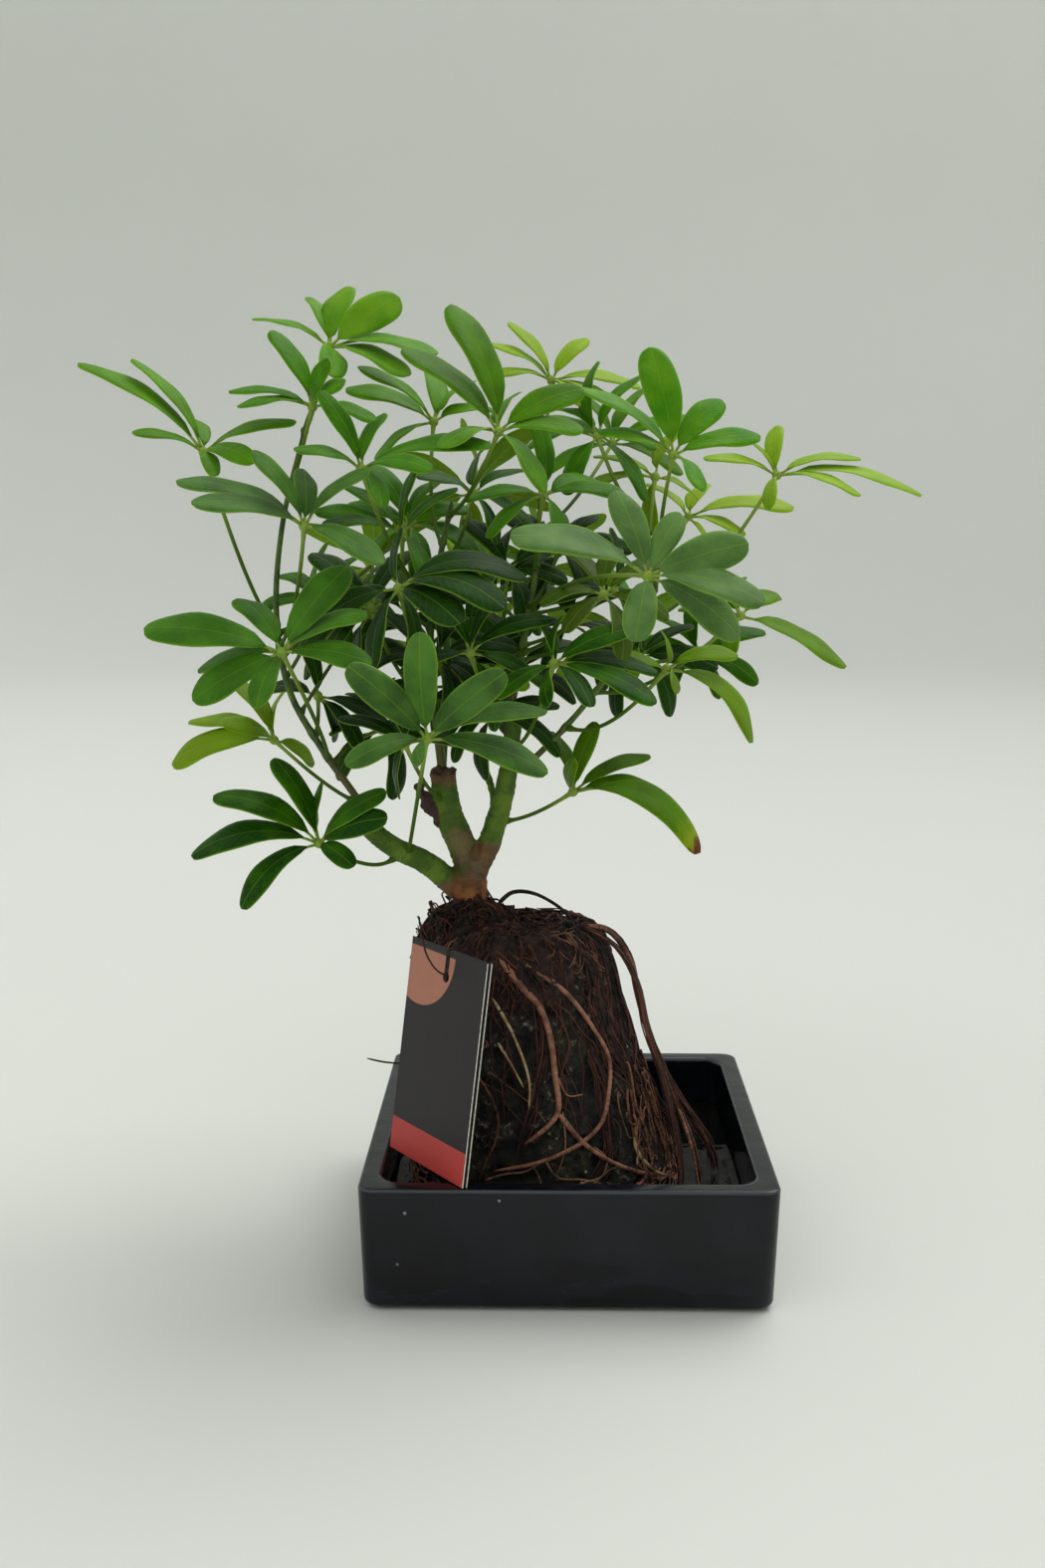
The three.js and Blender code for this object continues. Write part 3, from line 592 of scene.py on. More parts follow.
@dataclass(frozen=True)
class Lava:
    """Dull porous rock: black pores, painted shade in its deep hollows, grey-brown ridges, green-brown film,
    pale grains, wet foot.
    """

    pore_and_shade: Colour = rgb(12, 11, 11)
    face: Colour = rgb(50, 46, 40)
    ridge: Colour = rgb(122, 114, 98)
    film: Colour = rgb(54, 56, 32)
    grain: Colour = rgb(190, 190, 180)
    wet_line: float = 0.034

    def build(self) -> Material:
        """Lays the rock's nodes; the mark "depth" has how deep a point lies, in millimetres, and deeper
        points are darkened by it as painted shade.

        Returns:
            The material.
        """
        s = Shader("lava")
        depth, _, _ = s.parts(s.mark("depth"))
        _, _, z = s.parts(s.place())
        fine = s.cells(700)
        body = s.mix(s.noise(260, 5).ramp(0.35, 0.7), self.pore_and_shade, self.face)
        body = s.mix(s.noise(420, 3).ramp(0.52, 0.7) * depth.ramp(1.1, 0.1), body, self.ridge)
        body = s.mix(s.noise(38, 4).ramp(0.5, 0.72) * 0.6, body, self.film)
        # painted shade: points more than about a millimetre deep go dark like hollows in shade; the cells
        # add dark pore dots
        body = s.mix(depth.ramp(0.9, 2.4) * 0.8 + fine.ramp(0.28, 0.12) * 0.5, body, self.pore_and_shade)
        grains = s.cells(210).ramp(0.16, 0.08) * s.noise(75, 1).ramp(0.64, 0.68)
        body = s.mix(grains, body, self.grain)
        wet = z.ramp(self.wet_line + 0.004, self.wet_line - 0.004)
        body = s.dim(body, 1 - wet * 0.45)
        height = fine.ramp(0.05, 0.5) * 0.5 + s.noise(900, 4) * 0.6
        return s.finish(Base_Color=body, Roughness=0.95 - wet * 0.6, Normal=s.bump(height, 0.0007))


@dataclass(frozen=True)
class Fibre:
    """Matted dark brown root fibre."""

    dark: Colour = rgb(20, 12, 10)
    brown: Colour = rgb(60, 36, 29)
    red: Colour = rgb(112, 64, 52)

    def build(self) -> Material:
        """Lays the fibre's nodes; the mark "grain" numbers the strands.

        Returns:
            The material.
        """
        s = Shader("fibre")
        along, _, strand = s.parts(s.mark("grain"))
        body = s.mix(s.noise(300, 4).ramp(0.35, 0.7), self.dark, self.brown)
        ruddy = (strand * 2.399).wave().ramp(0.1, 0.9)
        body = s.mix(ruddy * 0.6, body, self.red)
        height = s.noise(1600, 3) + (along * 2.2).wave() * 0.15
        return s.finish(Base_Color=body, Roughness=0.92, Normal=s.bump(height, 0.0004))


@dataclass(frozen=True)
class Root:
    """A root's skin: one colour that darkens in patches, with fine cross rings."""

    name: str
    light: Colour
    dark: Colour
    rough: float = 0.62

    def build(self) -> Material:
        """Lays the root's nodes; the mark "grain" has millimetres along it.

        Returns:
            The material.
        """
        s = Shader(self.name)
        along, _, strand = s.parts(s.mark("grain"))
        body = s.mix(s.noise(190, 4).ramp(0.38, 0.68), self.light, self.dark)
        body = s.dim(body, (strand * 2.399).wave() * 0.18 + 0.92)
        rings = (along * 3.1 + s.noise(300, 2) * 4).wave()
        body = s.dim(body, rings * 0.06 + 0.97 - s.noise(700, 3).ramp(0.56, 0.7) * 0.35)
        height = rings * 0.35 + s.noise(1200, 3)
        return s.finish(Base_Color=body, Roughness=self.rough, Normal=s.bump(height, 0.00025))


@dataclass(frozen=True)
class Bark:
    """Young bark that is brown and scarred at the foot and goes green up the branches."""

    tan: Colour = rgb(120, 86, 46)
    brown: Colour = rgb(66, 44, 26)
    grey: Colour = rgb(104, 94, 66)
    orange: Colour = rgb(168, 100, 52)
    green: Colour = rgb(62, 92, 10)
    olive: Colour = rgb(98, 128, 22)
    scar: Colour = rgb(44, 28, 18)
    pink: Colour = rgb(134, 98, 78)
    dry: Colour = rgb(66, 46, 46)

    def build(self) -> Material:
        """Lays the bark's nodes; the mark "bark" has greenness and scar depth.

        Returns:
            The material.
        """
        s = Shader("bark")
        green, scar, _ = s.parts(s.mark("bark"))
        wood = s.mix(s.noise(150, 4).ramp(0.35, 0.65), self.tan, self.brown)
        wood = s.mix(s.noise(70, 3).ramp(0.5, 0.75) * 0.6, wood, self.grey)
        young = s.mix(s.noise(110, 4).ramp(0.35, 0.7), self.green, self.olive)
        _, _, z = s.parts(s.place())
        foot = z.ramp(0.152, 0.138) * s.noise(95, 3).ramp(0.42, 0.6)
        wood = s.mix(foot * 0.8, wood, self.orange)
        body = s.mix((green + (s.noise(120, 4) - 0.5) * 0.9).ramp(0.3, 0.7), wood, young)
        half_grown = abs(green - 0.5).ramp(0.4, 0.2)
        body = s.dim(body, 1 - half_grown * 0.3)
        body = s.mix(half_grown * s.noise(75, 3).ramp(0.5, 0.6) * 0.45, body, self.pink)
        body = s.mix(green.ramp(-0.3, -0.7) * (s.noise(240, 3) * 0.4 + 0.7), body, self.dry)
        body = s.mix(scar.ramp(0.15, 0.9) * 0.22, body, self.scar)
        dots = s.cells(420).ramp(0.2, 0.1)
        body = s.mix(dots * 0.35, body, self.grey)
        height = s.noise(600, 4) * 0.7 + s.noise(1.0, 3, s.stretched((900, 900, 220))) * 0.5 + dots * 0.5
        return s.finish(Base_Color=body, Roughness=0.75, Normal=s.bump(height, 0.0006))


@dataclass(frozen=True)
class GreenStem:
    """Smooth green stem skin with pale breathing dots and brown ring scars."""

    light: Colour = rgb(84, 112, 26)
    dark: Colour = rgb(36, 60, 12)
    brown: Colour = rgb(84, 70, 34)

    def build(self) -> Material:
        """Lays the stem's nodes; the mark "bark" has greenness and scar depth.

        Returns:
            The material.
        """
        s = Shader("green_stem")
        green, scar, _ = s.parts(s.mark("bark"))
        body = s.mix(s.noise(130, 3).ramp(0.35, 0.7), self.light, self.dark)
        body = s.mix(green.ramp(0.7, 0.1) * 0.8, body, self.brown)
        body = s.mix(scar.ramp(0.2, 0.9) * 0.8, body, self.brown)
        dots = s.cells(480).ramp(0.2, 0.1)
        body = s.mix(dots * 0.3, body, self.light)
        height = s.noise(800, 3) + dots * 0.6
        return s.finish(Base_Color=body, Roughness=0.5, Normal=s.bump(height, 0.00025))


class Tone(Enum):
    """How old a leaf looks, and for leaves deep in the crown partly painted shade; the value is the record's
    material slot.
    """

    YOUNG = "young_leaf"
    GREEN = "green_leaf"
    DARK = "dark_leaf"


@dataclass(frozen=True)
class LeafSkin:
    """Leathery leaf: satin upper side with a pale midrib, matt paler underside, light through it."""

    tone: Tone
    upper: Colour
    fresh_and_lit: Colour
    under: Colour
    rib: Colour = rgb(126, 162, 42)
    stalk: Colour = rgb(72, 100, 26)
    tender: Colour = rgb(142, 166, 72)
    painted_sheen: Colour = rgb(124, 150, 98)
    margin: Colour = rgb(146, 184, 52)
    yellow: Colour = rgb(178, 184, 34)
    brown: Colour = rgb(104, 60, 34)
    glow: float = 0.22
    gloss: float = 0.09

    def build(self) -> Material:
        """Lays the leaf's nodes.

        The mark "blade" has millimetres along and across the blade, and 1 on its upper side, -1 on its
        underside and 0 on stalks. The mark "tint" has lightness, partly the leaf's age and partly painted
        shade, yellowness (below 0 a painted grey sheen) and brownness. The mark "rim" is 0 at the midrib and
        1 at the margin.

        Returns:
            The material.
        """
        s = Shader(self.tone.value)
        along, across, side = s.parts(s.mark("blade"))
        light, yellow_and_sheen, burnt = s.parts(s.mark("tint"))
        cloud = s.noise(90, 4).ramp(0.3, 0.7)
        # lightness moves the upper side from the upper colour to the fresh one; it is partly the leaf's age
        # and partly painted shade, lower for leaves deep in the crown
        top = s.mix(light * 0.85 + (cloud - 0.5) * 0.3, self.upper, self.fresh_and_lit)
        # painted sheen: where the yellow mark is below 0 the upper side is greyed towards the pale sheen
        # colour, standing for a broad reflection of the light
        top = s.mix(yellow_and_sheen * -1.0 * (cloud * 0.5 + 0.75), top, self.painted_sheen)
        top = s.mix(yellow_and_sheen, top, self.yellow)
        veins = ((along - abs(across) * 1.1) * 1.75 + cloud * 0.8).wave()
        vein = veins.ramp(0.72, 1.0) * abs(across).ramp(0.2, 1.5)
        top = s.mix(vein * 0.05, top, self.rib)
        rib = abs(across).ramp(0.42, 0.08)
        top = s.mix(rib * 0.32, top, self.rib)
        rim, _, _ = s.parts(s.mark("rim"))
        top = s.mix(rim.ramp(0.86, 1.0) * 0.4, top, self.margin)
        below = s.mix(yellow_and_sheen * 0.6 + cloud * 0.2, self.under, self.yellow)
        below = s.mix(vein * 0.15 + rib * 0.5, below, self.rib)
        blade = s.mix(side.ramp(-0.2, 0.2), below, top)
        stalk = s.mix(along.ramp(0.55, 1.0), self.stalk, self.tender)
        body = s.mix(abs(side).ramp(0.6, 0.2), blade, stalk)
        tip = burnt + (s.noise(260, 3) - 0.5) * 0.2
        body = s.mix(tip.ramp(0.72, 0.92) * 0.5, body, self.yellow)
        body = s.mix(tip.ramp(0.9, 0.95), body, self.brown)
        rough = side.ramp(-0.2, 0.2) * -0.2 + 0.6 + s.noise(200, 2) * 0.12
        height = vein * 0.25 + rib * 0.5 + s.noise(420, 2) * 0.35
        return s.finish(
            Base_Color=body, Roughness=rough, Normal=s.bump(height, 0.0002), Specular_IOR_Level=self.gloss,
            Subsurface_Weight=self.glow, Subsurface_Radius=(0.5, 1.0, 0.12), Subsurface_Scale=0.0012,
        )


@dataclass(frozen=True)
class Print:
    """Printed face of the hang tag: charcoal, with a plain rounded patch and a plain band."""

    charcoal: Colour = rgb(32, 27, 30)
    patch: Colour = rgb(176, 116, 96)
    band: Colour = rgb(184, 62, 58)
    patch_middle: Pair = (42.0, 80.0)
    patch_half: Pair = (22.0, 21.5)
    patch_top: float = 80.3
    band_top: float = 12.6

    def build(self) -> Material:
        """Lays the face's nodes; the mark "card" has millimetres across and up the card.

        Returns:
            The material.
        """
        s = Shader("card_print")
        u, v, _ = s.parts(s.mark("card"))
        x = (u - self.patch_middle[0]) * (1 / self.patch_half[0])
        y = (v - self.patch_middle[1]) * (1 / self.patch_half[1])
        inside = (x * x + y * y).ramp(1.02, 0.98) * v.ramp(self.patch_top + 0.1, self.patch_top - 0.1)
        body = s.mix(inside, self.charcoal, self.patch)
        body = s.mix(v.ramp(self.band_top + 0.1, self.band_top - 0.1), body, self.band)
        body = s.dim(body, s.noise(160, 3) * 0.16 + 0.92)
        grain = s.noise(2500, 2)
        rough, normal = 0.42 + grain * 0.12, s.bump(grain, 0.00004)
        return s.finish(Base_Color=body, Roughness=rough, Normal=normal, Specular_IOR_Level=0.28)


@dataclass(frozen=True)
class Paper:
    """Bare card, in two near shades that cloud into each other."""

    name: str
    first: Colour
    second: Colour

    def build(self) -> Material:
        """Lays the paper's nodes.

        Returns:
            The material.
        """
        s = Shader(self.name)
        fibre = s.noise(900, 4)
        body = s.mix(fibre.ramp(0.4, 0.7), self.first, self.second)
        return s.finish(Base_Color=body, Roughness=0.9, Normal=s.bump(fibre, 0.00006))


@dataclass(frozen=True)
class Backdrop:
    """Pale matt floor that rises to a wall on every side."""

    pale: Colour = rgb(222, 224, 220)

    def build(self) -> Material:
        """Lays the floor's nodes.

        Returns:
            The material.
        """
        s = Shader("backdrop")
        body = s.dim(self.pale, s.noise(3, 2) * 0.03 + 0.97)
        return s.finish(Base_Color=body, Roughness=0.8)


# ---- tray and water
@dataclass
class Tray:
    """The square glazed tray and the water in it."""

    width: float = 155.0
    height: float = 48.0
    taper: float = 1.5
    wall: float = 8.0
    floor: float = 8.0
    corner: float = 6.0
    inside_corner: float = 9.0
    foot: float = 1.2
    foot_inset: float = 6.0
    water_level: float = 27.0
    water_gap: float = 0.4
    meniscus: float = 0.7
    corner_steps: int = 14
    side_steps: int = 16

    def half(self, z: Array) -> Array:
        """Half the outside width at a height: it leans in by the taper towards the bottom."""
        return self.width / 2 - self.taper * (1 - z / self.height)

    def square(self, half: Array, corner: Array, z: Array) -> Array:
        """Rounded squares, one a level.

        A quarter is an arc of the corner radius and then a straight side; the four quarters are the
        same, each turned by 90 degrees.

        Args:
            half: half the width at each level.
            corner: the corner radius at each level.
            z: the heights.

        Returns:
            Rings (levels, points, 3), counter-clockwise.
        """
        angle = np.linspace(0, math.pi / 2, self.corner_steps + 1)
        middle = (half - corner)[:, None]
        arc_x = middle + corner[:, None] * np.cos(angle)
        arc_y = middle + corner[:, None] * np.sin(angle)
        share = np.linspace(0, 1, self.side_steps + 1)[None, 1:-1]
        side_x = middle * (1 - 2 * share)
        side_y = np.broadcast_to(half[:, None], side_x.shape)
        x = np.concatenate([arc_x, side_x], axis=1)
        y = np.concatenate([arc_y, side_y], axis=1)
        quarters = [(x, y), (-y, x), (-x, -y), (y, -x)]
        flat = [np.stack([qx, qy, np.broadcast_to(z[:, None], qx.shape)], axis=-1) for qx, qy in quarters]
        return np.concatenate(flat, axis=1)

    @staticmethod
    def rounded(turns: Sequence[Triple]) -> Array:
        """A section line whose bends are arcs.

        Each bend is the curve (1-t)^2 a + 2t(1-t) b + t^2 c, from a point one radius before the
        corner b to a point one radius after it.

        Args:
            turns: corners as (x, z, radius).

        Returns:
            The line, (n, 2).
        """
        steps = 6
        corners = np.array([turn[:2] for turn in turns], float)
        line = [corners[:1]]
        t = np.linspace(0, 1, steps + 1)[:, None]
        for before, at, after, (_, _, radius) in zip(corners, corners[1:], corners[2:], turns[1:-1]):
            a = at + unit(before - at) * radius
            c = at + unit(after - at) * radius
            line.append((1 - t) ** 2 * a + 2 * t * (1 - t) * at + t**2 * c)
        line.append(corners[-1:])
        return np.concatenate(line)

    def build_bowl(self, material: Material) -> None:
        """The tray: a section line of half widths and heights, carried round a rounded square.

        Args:
            material: the glaze.
        """
        foot, inset, top = self.foot, self.foot_inset, self.height
        low, mouth = float(self.half(np.array(foot))), self.width / 2
        outside = self.rounded([
            (low - inset - 3, 0, 0), (low - inset, 0, 0.5), (low - inset, foot, 0.5), (low - 0.1, foot, 2.6),
            (mouth, top, 1.5), (mouth - self.wall, top, 1.9),
            (mouth - self.wall - self.taper * 0.8, self.floor, 4.5), (mouth - self.wall - 30, self.floor, 0),
        ])
        x, z = outside[:, 0], outside[:, 1]
        inner = np.clip((mouth - 3 - x) / 4, 0, 1) * (z > foot + 2)
        radius = self.corner + (self.inside_corner - self.corner) * inner
        radius = np.minimum(radius, np.where(z < foot + 0.1, 4.5, radius))
        on_floor = (z < self.floor + 0.4) & (inner > 0.9)
        radius = np.where(on_floor, np.maximum(x - mouth + self.wall + 8, 1.5), radius)
        stack(self.square(x, radius, z)).piece("tray_bowl", [material], "glaze", ["tray"])

    def build_water(self, material: Material, rock: "Rock") -> None:
        """The water: a top that climbs a little at the walls and at the rock, closed below.

        The ring at share s goes from the rock's foot (s = 0) to the wall (s = 1), and rises by the
        meniscus times exp(-d) where d is the distance to either in millimetres.

        Args:
            material: the water's material.
            rock: the rock that stands in it.
        """
        level = self.water_level
        wall = float(self.half(np.array(level))) - self.wall - self.water_gap
        outer = self.square(np.array([wall]), np.array([self.inside_corner]), np.array([level]))[0]
        angle = np.arctan2(outer[:, 1], outer[:, 0] - rock.middle(level))
        inner = rock.skin(angle, np.full(len(angle), level), -1.5)
        gap = np.linalg.norm(outer - inner, axis=1)[None, :, None]
        share = (1 - np.cos(np.linspace(0, math.pi, 30))) / 2
        rings = inner[None] * (1 - share)[:, None, None] + outer[None] * share[:, None, None]
        climb = np.exp(-share[:, None, None] * gap) + np.exp(-(1 - share)[:, None, None] * gap)
        rings = rings + np.array([0, 0, self.meniscus]) * climb
        below = rings[::-1] * np.array([1, 1, 0]) + np.array([0, 0, self.floor + 1.0])
        loop = np.concatenate([rings, below])[::-1]
        squares = ring_faces(len(loop), loop.shape[1])[0]
        last = np.arange(loop.shape[1]) + (len(loop) - 1) * loop.shape[1]
        first = np.arange(loop.shape[1])
        seam = np.stack([last, np.roll(last, -1), np.roll(first, -1), first], axis=-1)
        pool = Surface(loop.reshape(-1, 3), [np.concatenate([squares, seam])])
        pool.piece("water_pool", [material], "water", ["water"])


# ---- rock
@dataclass
class Rock:
    """The porous lava rock: its plain form, and the skin with lumps and pores."""

    foot: float = 8.3
    top: float = 128.0
    half_x: Pair = (54.5, 34.5)
    half_y: Pair = (48.0, 30.0)
    centre: Pair = (-6.5, -21.5)
    squareness: float = 2.6
    shoulder: float = 9.0
    columns: int = 320
    rows: int = 176
    pores: int = 1500
    seed: int = 11

    def share(self, z: Array) -> Array:
        """A height's share of the way from foot to top."""
        return np.clip((z - self.foot) / (self.top - self.foot), 0, 1)

    def middle(self, z: Array) -> Array:
        """The middle line's x at a height."""
        return self.centre[0] + (self.centre[1] - self.centre[0]) * self.share(z)

    def halves(self, z: Array) -> tuple[Array, ...]:
        """Half the width along x and along y at a height."""
        s = self.share(z)
        return tuple(low + (high - low) * s for low, high in (self.half_x, self.half_y))

    def reach(self, angle: Array, z: Array) -> Array:
        """Distance from the middle line: a rounded ellipse |x/a|^n + |y/b|^n = 1."""
        (a, b), n = self.halves(z), self.squareness
        return ((np.abs(np.cos(angle)) / a) ** n + (np.abs(np.sin(angle)) / b) ** n) ** (-1 / n)

    def skin(self, angle: Array, z: Array, lift: Amount) -> Array:
        """Points on the side at an angle and a height, lifted outwards in the level plane."""
        r = self.reach(angle, z) + lift
        return np.stack([self.middle(z) + r * np.cos(angle), r * np.sin(angle), z], axis=-1)

    def over(self, angle: Array, way: Array, lift: Amount) -> Array:
        """Points on a way that starts at the middle of the top, crosses the shoulder and runs down.

        With way from 0 to 1 the point goes out over the top, and from 1 to 2 down the side; the edge
        between them is rounded by a quarter ellipse.

        Args:
            angle: the direction from the middle line.
            way: how far along, 0 to 2.
            lift: how far off the skin.

        Returns:
            The points.
        """
        out = np.clip(way, 0, 1)
        down = np.clip(way - 1, 0, 1)
        drop = down * (self.top - self.foot)
        bend = np.clip(drop / self.shoulder, 0, 1)
        z = self.top - drop
        inset = self.shoulder * 0.75 * (1 - np.sqrt(1 - (1 - bend) ** 2 * 0.999))
        flat = self.reach(angle, np.full_like(z, self.top)) - self.shoulder * 0.73
        r = np.where(way < 1, flat * out, self.reach(angle, z) - inset)
        side = np.where(way < 1, smoothstep(0.8, 1.0, out) * 0.5, 0.5 + 0.5 * bend)
        r = r + lift * side
        z = z + lift * (1 - side)
        return np.stack([self.middle(z) + r * np.cos(angle), r * np.sin(angle), z], axis=-1)

    def front(self, x: Array, z: Array) -> Array:
        """The front of the plain form at a place seen from the front.

        Args:
            x, z: the place.

        Returns:
            The y there.
        """
        a, b = self.halves(z)
        across = np.minimum(np.abs(x - self.middle(z)) / a, 0.995)
        return -b * (1 - across**self.squareness) ** (1 / self.squareness)

    def build(self, material: Material) -> None:
        """The rock's skin.

        The plain form is moved inwards along its own normal by slow lumps, finer lumps and round
        pores; a pore of radius r is the bowl depth (1 - (d/r)^2) where d is the distance to its
        middle, and where pores meet the deeper one counts.

        Args:
            material: the lava.
        """
        rng = np.random.default_rng(self.seed)
        angle = TURN * np.arange(self.columns) / self.columns
        edge_rows, top_rows = 16, 30
        side_rows = self.rows - edge_rows - top_rows
        way = np.concatenate([
            np.linspace(2, 1.075, side_rows), np.linspace(1.07, 1.0, edge_rows),
            np.linspace(0.975, 0.02, top_rows),
        ])
        grid_angle, grid_way = np.meshgrid(angle, way)
        plain = self.over(grid_angle, grid_way, 0.0)
        down_rows = np.gradient(plain, axis=0)
        round_columns = np.roll(plain, -1, axis=1) - np.roll(plain, 1, axis=1)
        normal = unit(np.cross(round_columns, down_rows) + 1e-9)
        points = plain.reshape(-1, 3)
        centres = points[rng.choice(len(points), self.pores, replace=False)]
        radius = rng.gamma(3.0, 0.42, self.pores) + 0.7
        depth = radius * rng.uniform(0.45, 0.8, self.pores)
        sunk = np.zeros(len(points))
        for start in range(0, self.pores, 100):
            part = slice(start, start + 100)
            bowl = depth[part] * (1 - squares_apart(points, centres[part]) / radius[part] ** 2)
            sunk = np.maximum(sunk, bowl.max(axis=1))
        lumps = 0.85 + 0.6 * ripple(points, 26, 3) + 0.6 * ripple(points, 11, 4)
        lumps = lumps + 0.34 * ripple(points, 4.5, 5)
        rough = 0.16 * ripple(points, 2.2, 6)
        height = np.clip(lumps, -0.3, None) + rough + sunk
        steady = smoothstep(self.foot, self.foot + 4, points[:, 2])
        moved = points - normal.reshape(-1, 3) * (height * steady)[:, None]
        mark = (height[:, None] * np.ones(3)).reshape(plain.shape)
        skin = stack(moved.reshape(plain.shape), {"depth": mark})
        skin.piece("rock_skin", [material], "lava", ["lava_rock"])


# ---- trunk, shoots
@dataclass(frozen=True)
class Limb:
    """One woody or green stem: its route, end radii, where it turns green, and how dry its cut end is."""

    route: tuple[Triple, ...]
    start: float
    end: float
    green: Pair = (0.0, 0.0)
    dry: bool = False
    cut: float = 0.0

    def curve(self, count: int) -> Array:
        """The stem's middle line in this many points."""
        return smooth_route(self.route, count)

    def radius(self, share: Amount) -> Amount:
        """The radius at a share of the way from start to end."""
        return self.start + (self.end - self.start) * share

    def bud(self, height: float, hub: Array) -> tuple[Array, Array, Array]:
        """Where a leaf stalk leaves the stem, on the side that faces the leaf.

        Args:
            height: the z of the place.
            hub: where the stalk ends.

        Returns:
            A point on the stem's side, the way out of the stem, and the way along it.
        """
        steps = 61
        line = self.curve(steps)
        at = int(np.abs(line[:, 2] - height).argmin())
        along = unit(np.gradient(line, axis=0)[at])
        out = hub - line[at]
        out = unit(out - along * (out @ along))
        return line[at] + out * self.radius(at / (steps - 1)), out, along


LIMBS: dict[str, Limb] = {
    "foot": Limb(((-39, 0, 128.3), (-39, 0, 135), (-38.3, 0, 145), (-38, 0, 156)), 6.8, 5.6),
    "left": Limb(
        ((-38, 0, 137), (-45, -1, 144), (-57, -4, 154), (-68, -7, 160), (-79, -9, 170), (-84, -10, 182)),
        5.2, 3.6, (0.12, 0.3),
    ),
    "centre": Limb(
        ((-38, 0, 148), (-43, 0, 162), (-48, 0, 174), (-50, 0, 192)), 6, 5.2, (-0.5, 0.9), cut=1.6
    ),
    "right": Limb(
        ((-38, 0, 146), (-32, 0, 160), (-27, 0, 175), (-23, 0, 195), (-22, 0, 219)), 5, 3, (0.12, 0.3)
    ),
    "twig": Limb(((-30, 0, 166), (-30, 5, 180), (-35, 7, 194)), 1.8, 1.4, (-1.0, 0.2)),
    "stub": Limb(((-48, 0, 168), (-55, -3, 177), (-60, -4, 186)), 3.2, 2, dry=True),
}

SHOOTS: dict[str, Limb] = {
    "left_shoot": Limb(
        ((-84.5, -10, 183.2), (-96, -10, 200), (-108, -10, 222), (-113, -8, 250), (-111, -3, 285),
         (-101, 8, 330)), 2.1, 1.2,
    ),
    "centre_shoot": Limb(
        ((-50.2, 0, 193.2), (-53, 4, 215), (-55, 9, 240), (-52, 12, 268), (-46, 12, 296)), 2.7, 1.4
    ),
    "right_shoot": Limb(((-21.8, 0, 220.3), (-18, 4, 240), (-14, 10, 262), (-10, 14, 288)), 2.3, 1.3),
    "outer_shoot": Limb(
        ((-17.6, -1.6, 191.5), (-3, -2, 206), (13, 0, 225), (30, 3, 250), (38, 8, 285)), 1.8, 1.2
    ),
}


@dataclass
class Trunk:
    """The grown wood: limbs melted into one skin, with ring scars and swellings."""

    voxel: float = 0.55
    scar_step: float = 9.0
    seed: int = 21

    def limb_tube(self, limb: Limb) -> Surface:
        """One limb as a plain tube with a rounded end."""
        radius = tapered(40, limb.start, limb.end, 0.05)[None]
        return tubes(evenly(limb.curve(80), radius.size)[None], radius, 20)

    def melt(self) -> bpy.types.Mesh:
        """Joins the limbs by a voxel remesh and a light smoothing.

        Returns:
            The melted mesh in metres.
        """
        coarse = Surface.joined([self.limb_tube(limb) for limb in LIMBS.values()])
        mesh = bpy.data.meshes.new("limbs")
        faces = [face for block in coarse.faces for face in block.tolist()]
        mesh.from_pydata((coarse.points * MM).tolist(), [], faces)
        rough = link("limbs", mesh)
        remesh = rough.modifiers.new("melt", "REMESH")
        remesh.mode, remesh.voxel_size = "VOXEL", self.voxel * MM
        soften = rough.modifiers.new("soften", "SMOOTH")
        soften.factor, soften.iterations = 0.5, 10
        graph = bpy.context.evaluated_depsgraph_get()
        melted = bpy.data.meshes.new_from_object(rough.evaluated_get(graph))
        bpy.data.objects.remove(rough)
        bpy.data.meshes.remove(mesh)
        return melted

    def build(self, material: Material) -> None:
        """The trunk with its scars.

        Each point takes the nearest limb's middle line. Its skin is moved along the normal by
        slow swellings, fine bark grain, and a ridge and a groove at every ring scar.

        Args:
            material: the bark.
        """
        mesh, steps = self.melt(), 60
        count = len(mesh.vertices)
        points, normals = np.zeros(count * 3), np.zeros(count * 3)
        mesh.vertices.foreach_get("co", points)
        mesh.vertices.foreach_get("normal", normals)
        points, normals = points.reshape(-1, 3) / MM, normals.reshape(-1, 3)
        nearest = np.full(count, np.inf)
        green, along = np.zeros(count), np.zeros(count)
        for limb in LIMBS.values():
            line = evenly(limb.curve(80), steps)
            length = np.linalg.norm(np.diff(line, axis=0), axis=1).sum()
            square = squares_apart(points, line)
            at = square.argmin(axis=1) / (steps - 1)
            off = np.sqrt(np.maximum(square.min(axis=1), 0)) - limb.radius(at)
            closer = off < nearest
            nearest = np.where(closer, off, nearest)
            tint = smoothstep(*limb.green, at) if limb.green[1] else -1.0 * limb.dry
            tint = tint - limb.cut * smoothstep(0.8, 0.97, at)
            green = np.where(closer, tint, green)
            along = np.where(closer, at * length, along)
        phase = along / self.scar_step + 0.25 * ripple(points, 30, self.seed)
        near = np.abs(phase - np.round(phase)) * self.scar_step
        scar = np.exp(-((near / 0.55) ** 2))
        ridge = np.exp(-(((near - 1.2) / 0.6) ** 2))
        flaky = 0.9 * ripple(points, 4.5, 24) * (green < -0.5)
        grown = 0.35 * ripple(points, 9, 22) + 0.12 * ripple(points, 3, 23)
        grown = grown + 0.26 * ridge - 0.3 * scar + flaky
        points += normals * (grown * (1 - 0.5 * np.maximum(green, 0)))[:, None]
        mesh.vertices.foreach_set("co", (points * MM).astype(np.float32).ravel())
        add_mark(mesh, "bark", np.stack([green, scar, np.zeros(count)], axis=-1))
        mesh.polygons.foreach_set("use_smooth", np.ones(len(mesh.polygons), bool))
        mesh.materials.clear()
        mesh.materials.append(material)
        mesh.update()
        dress("trunk_wood", mesh, ["trunk"])


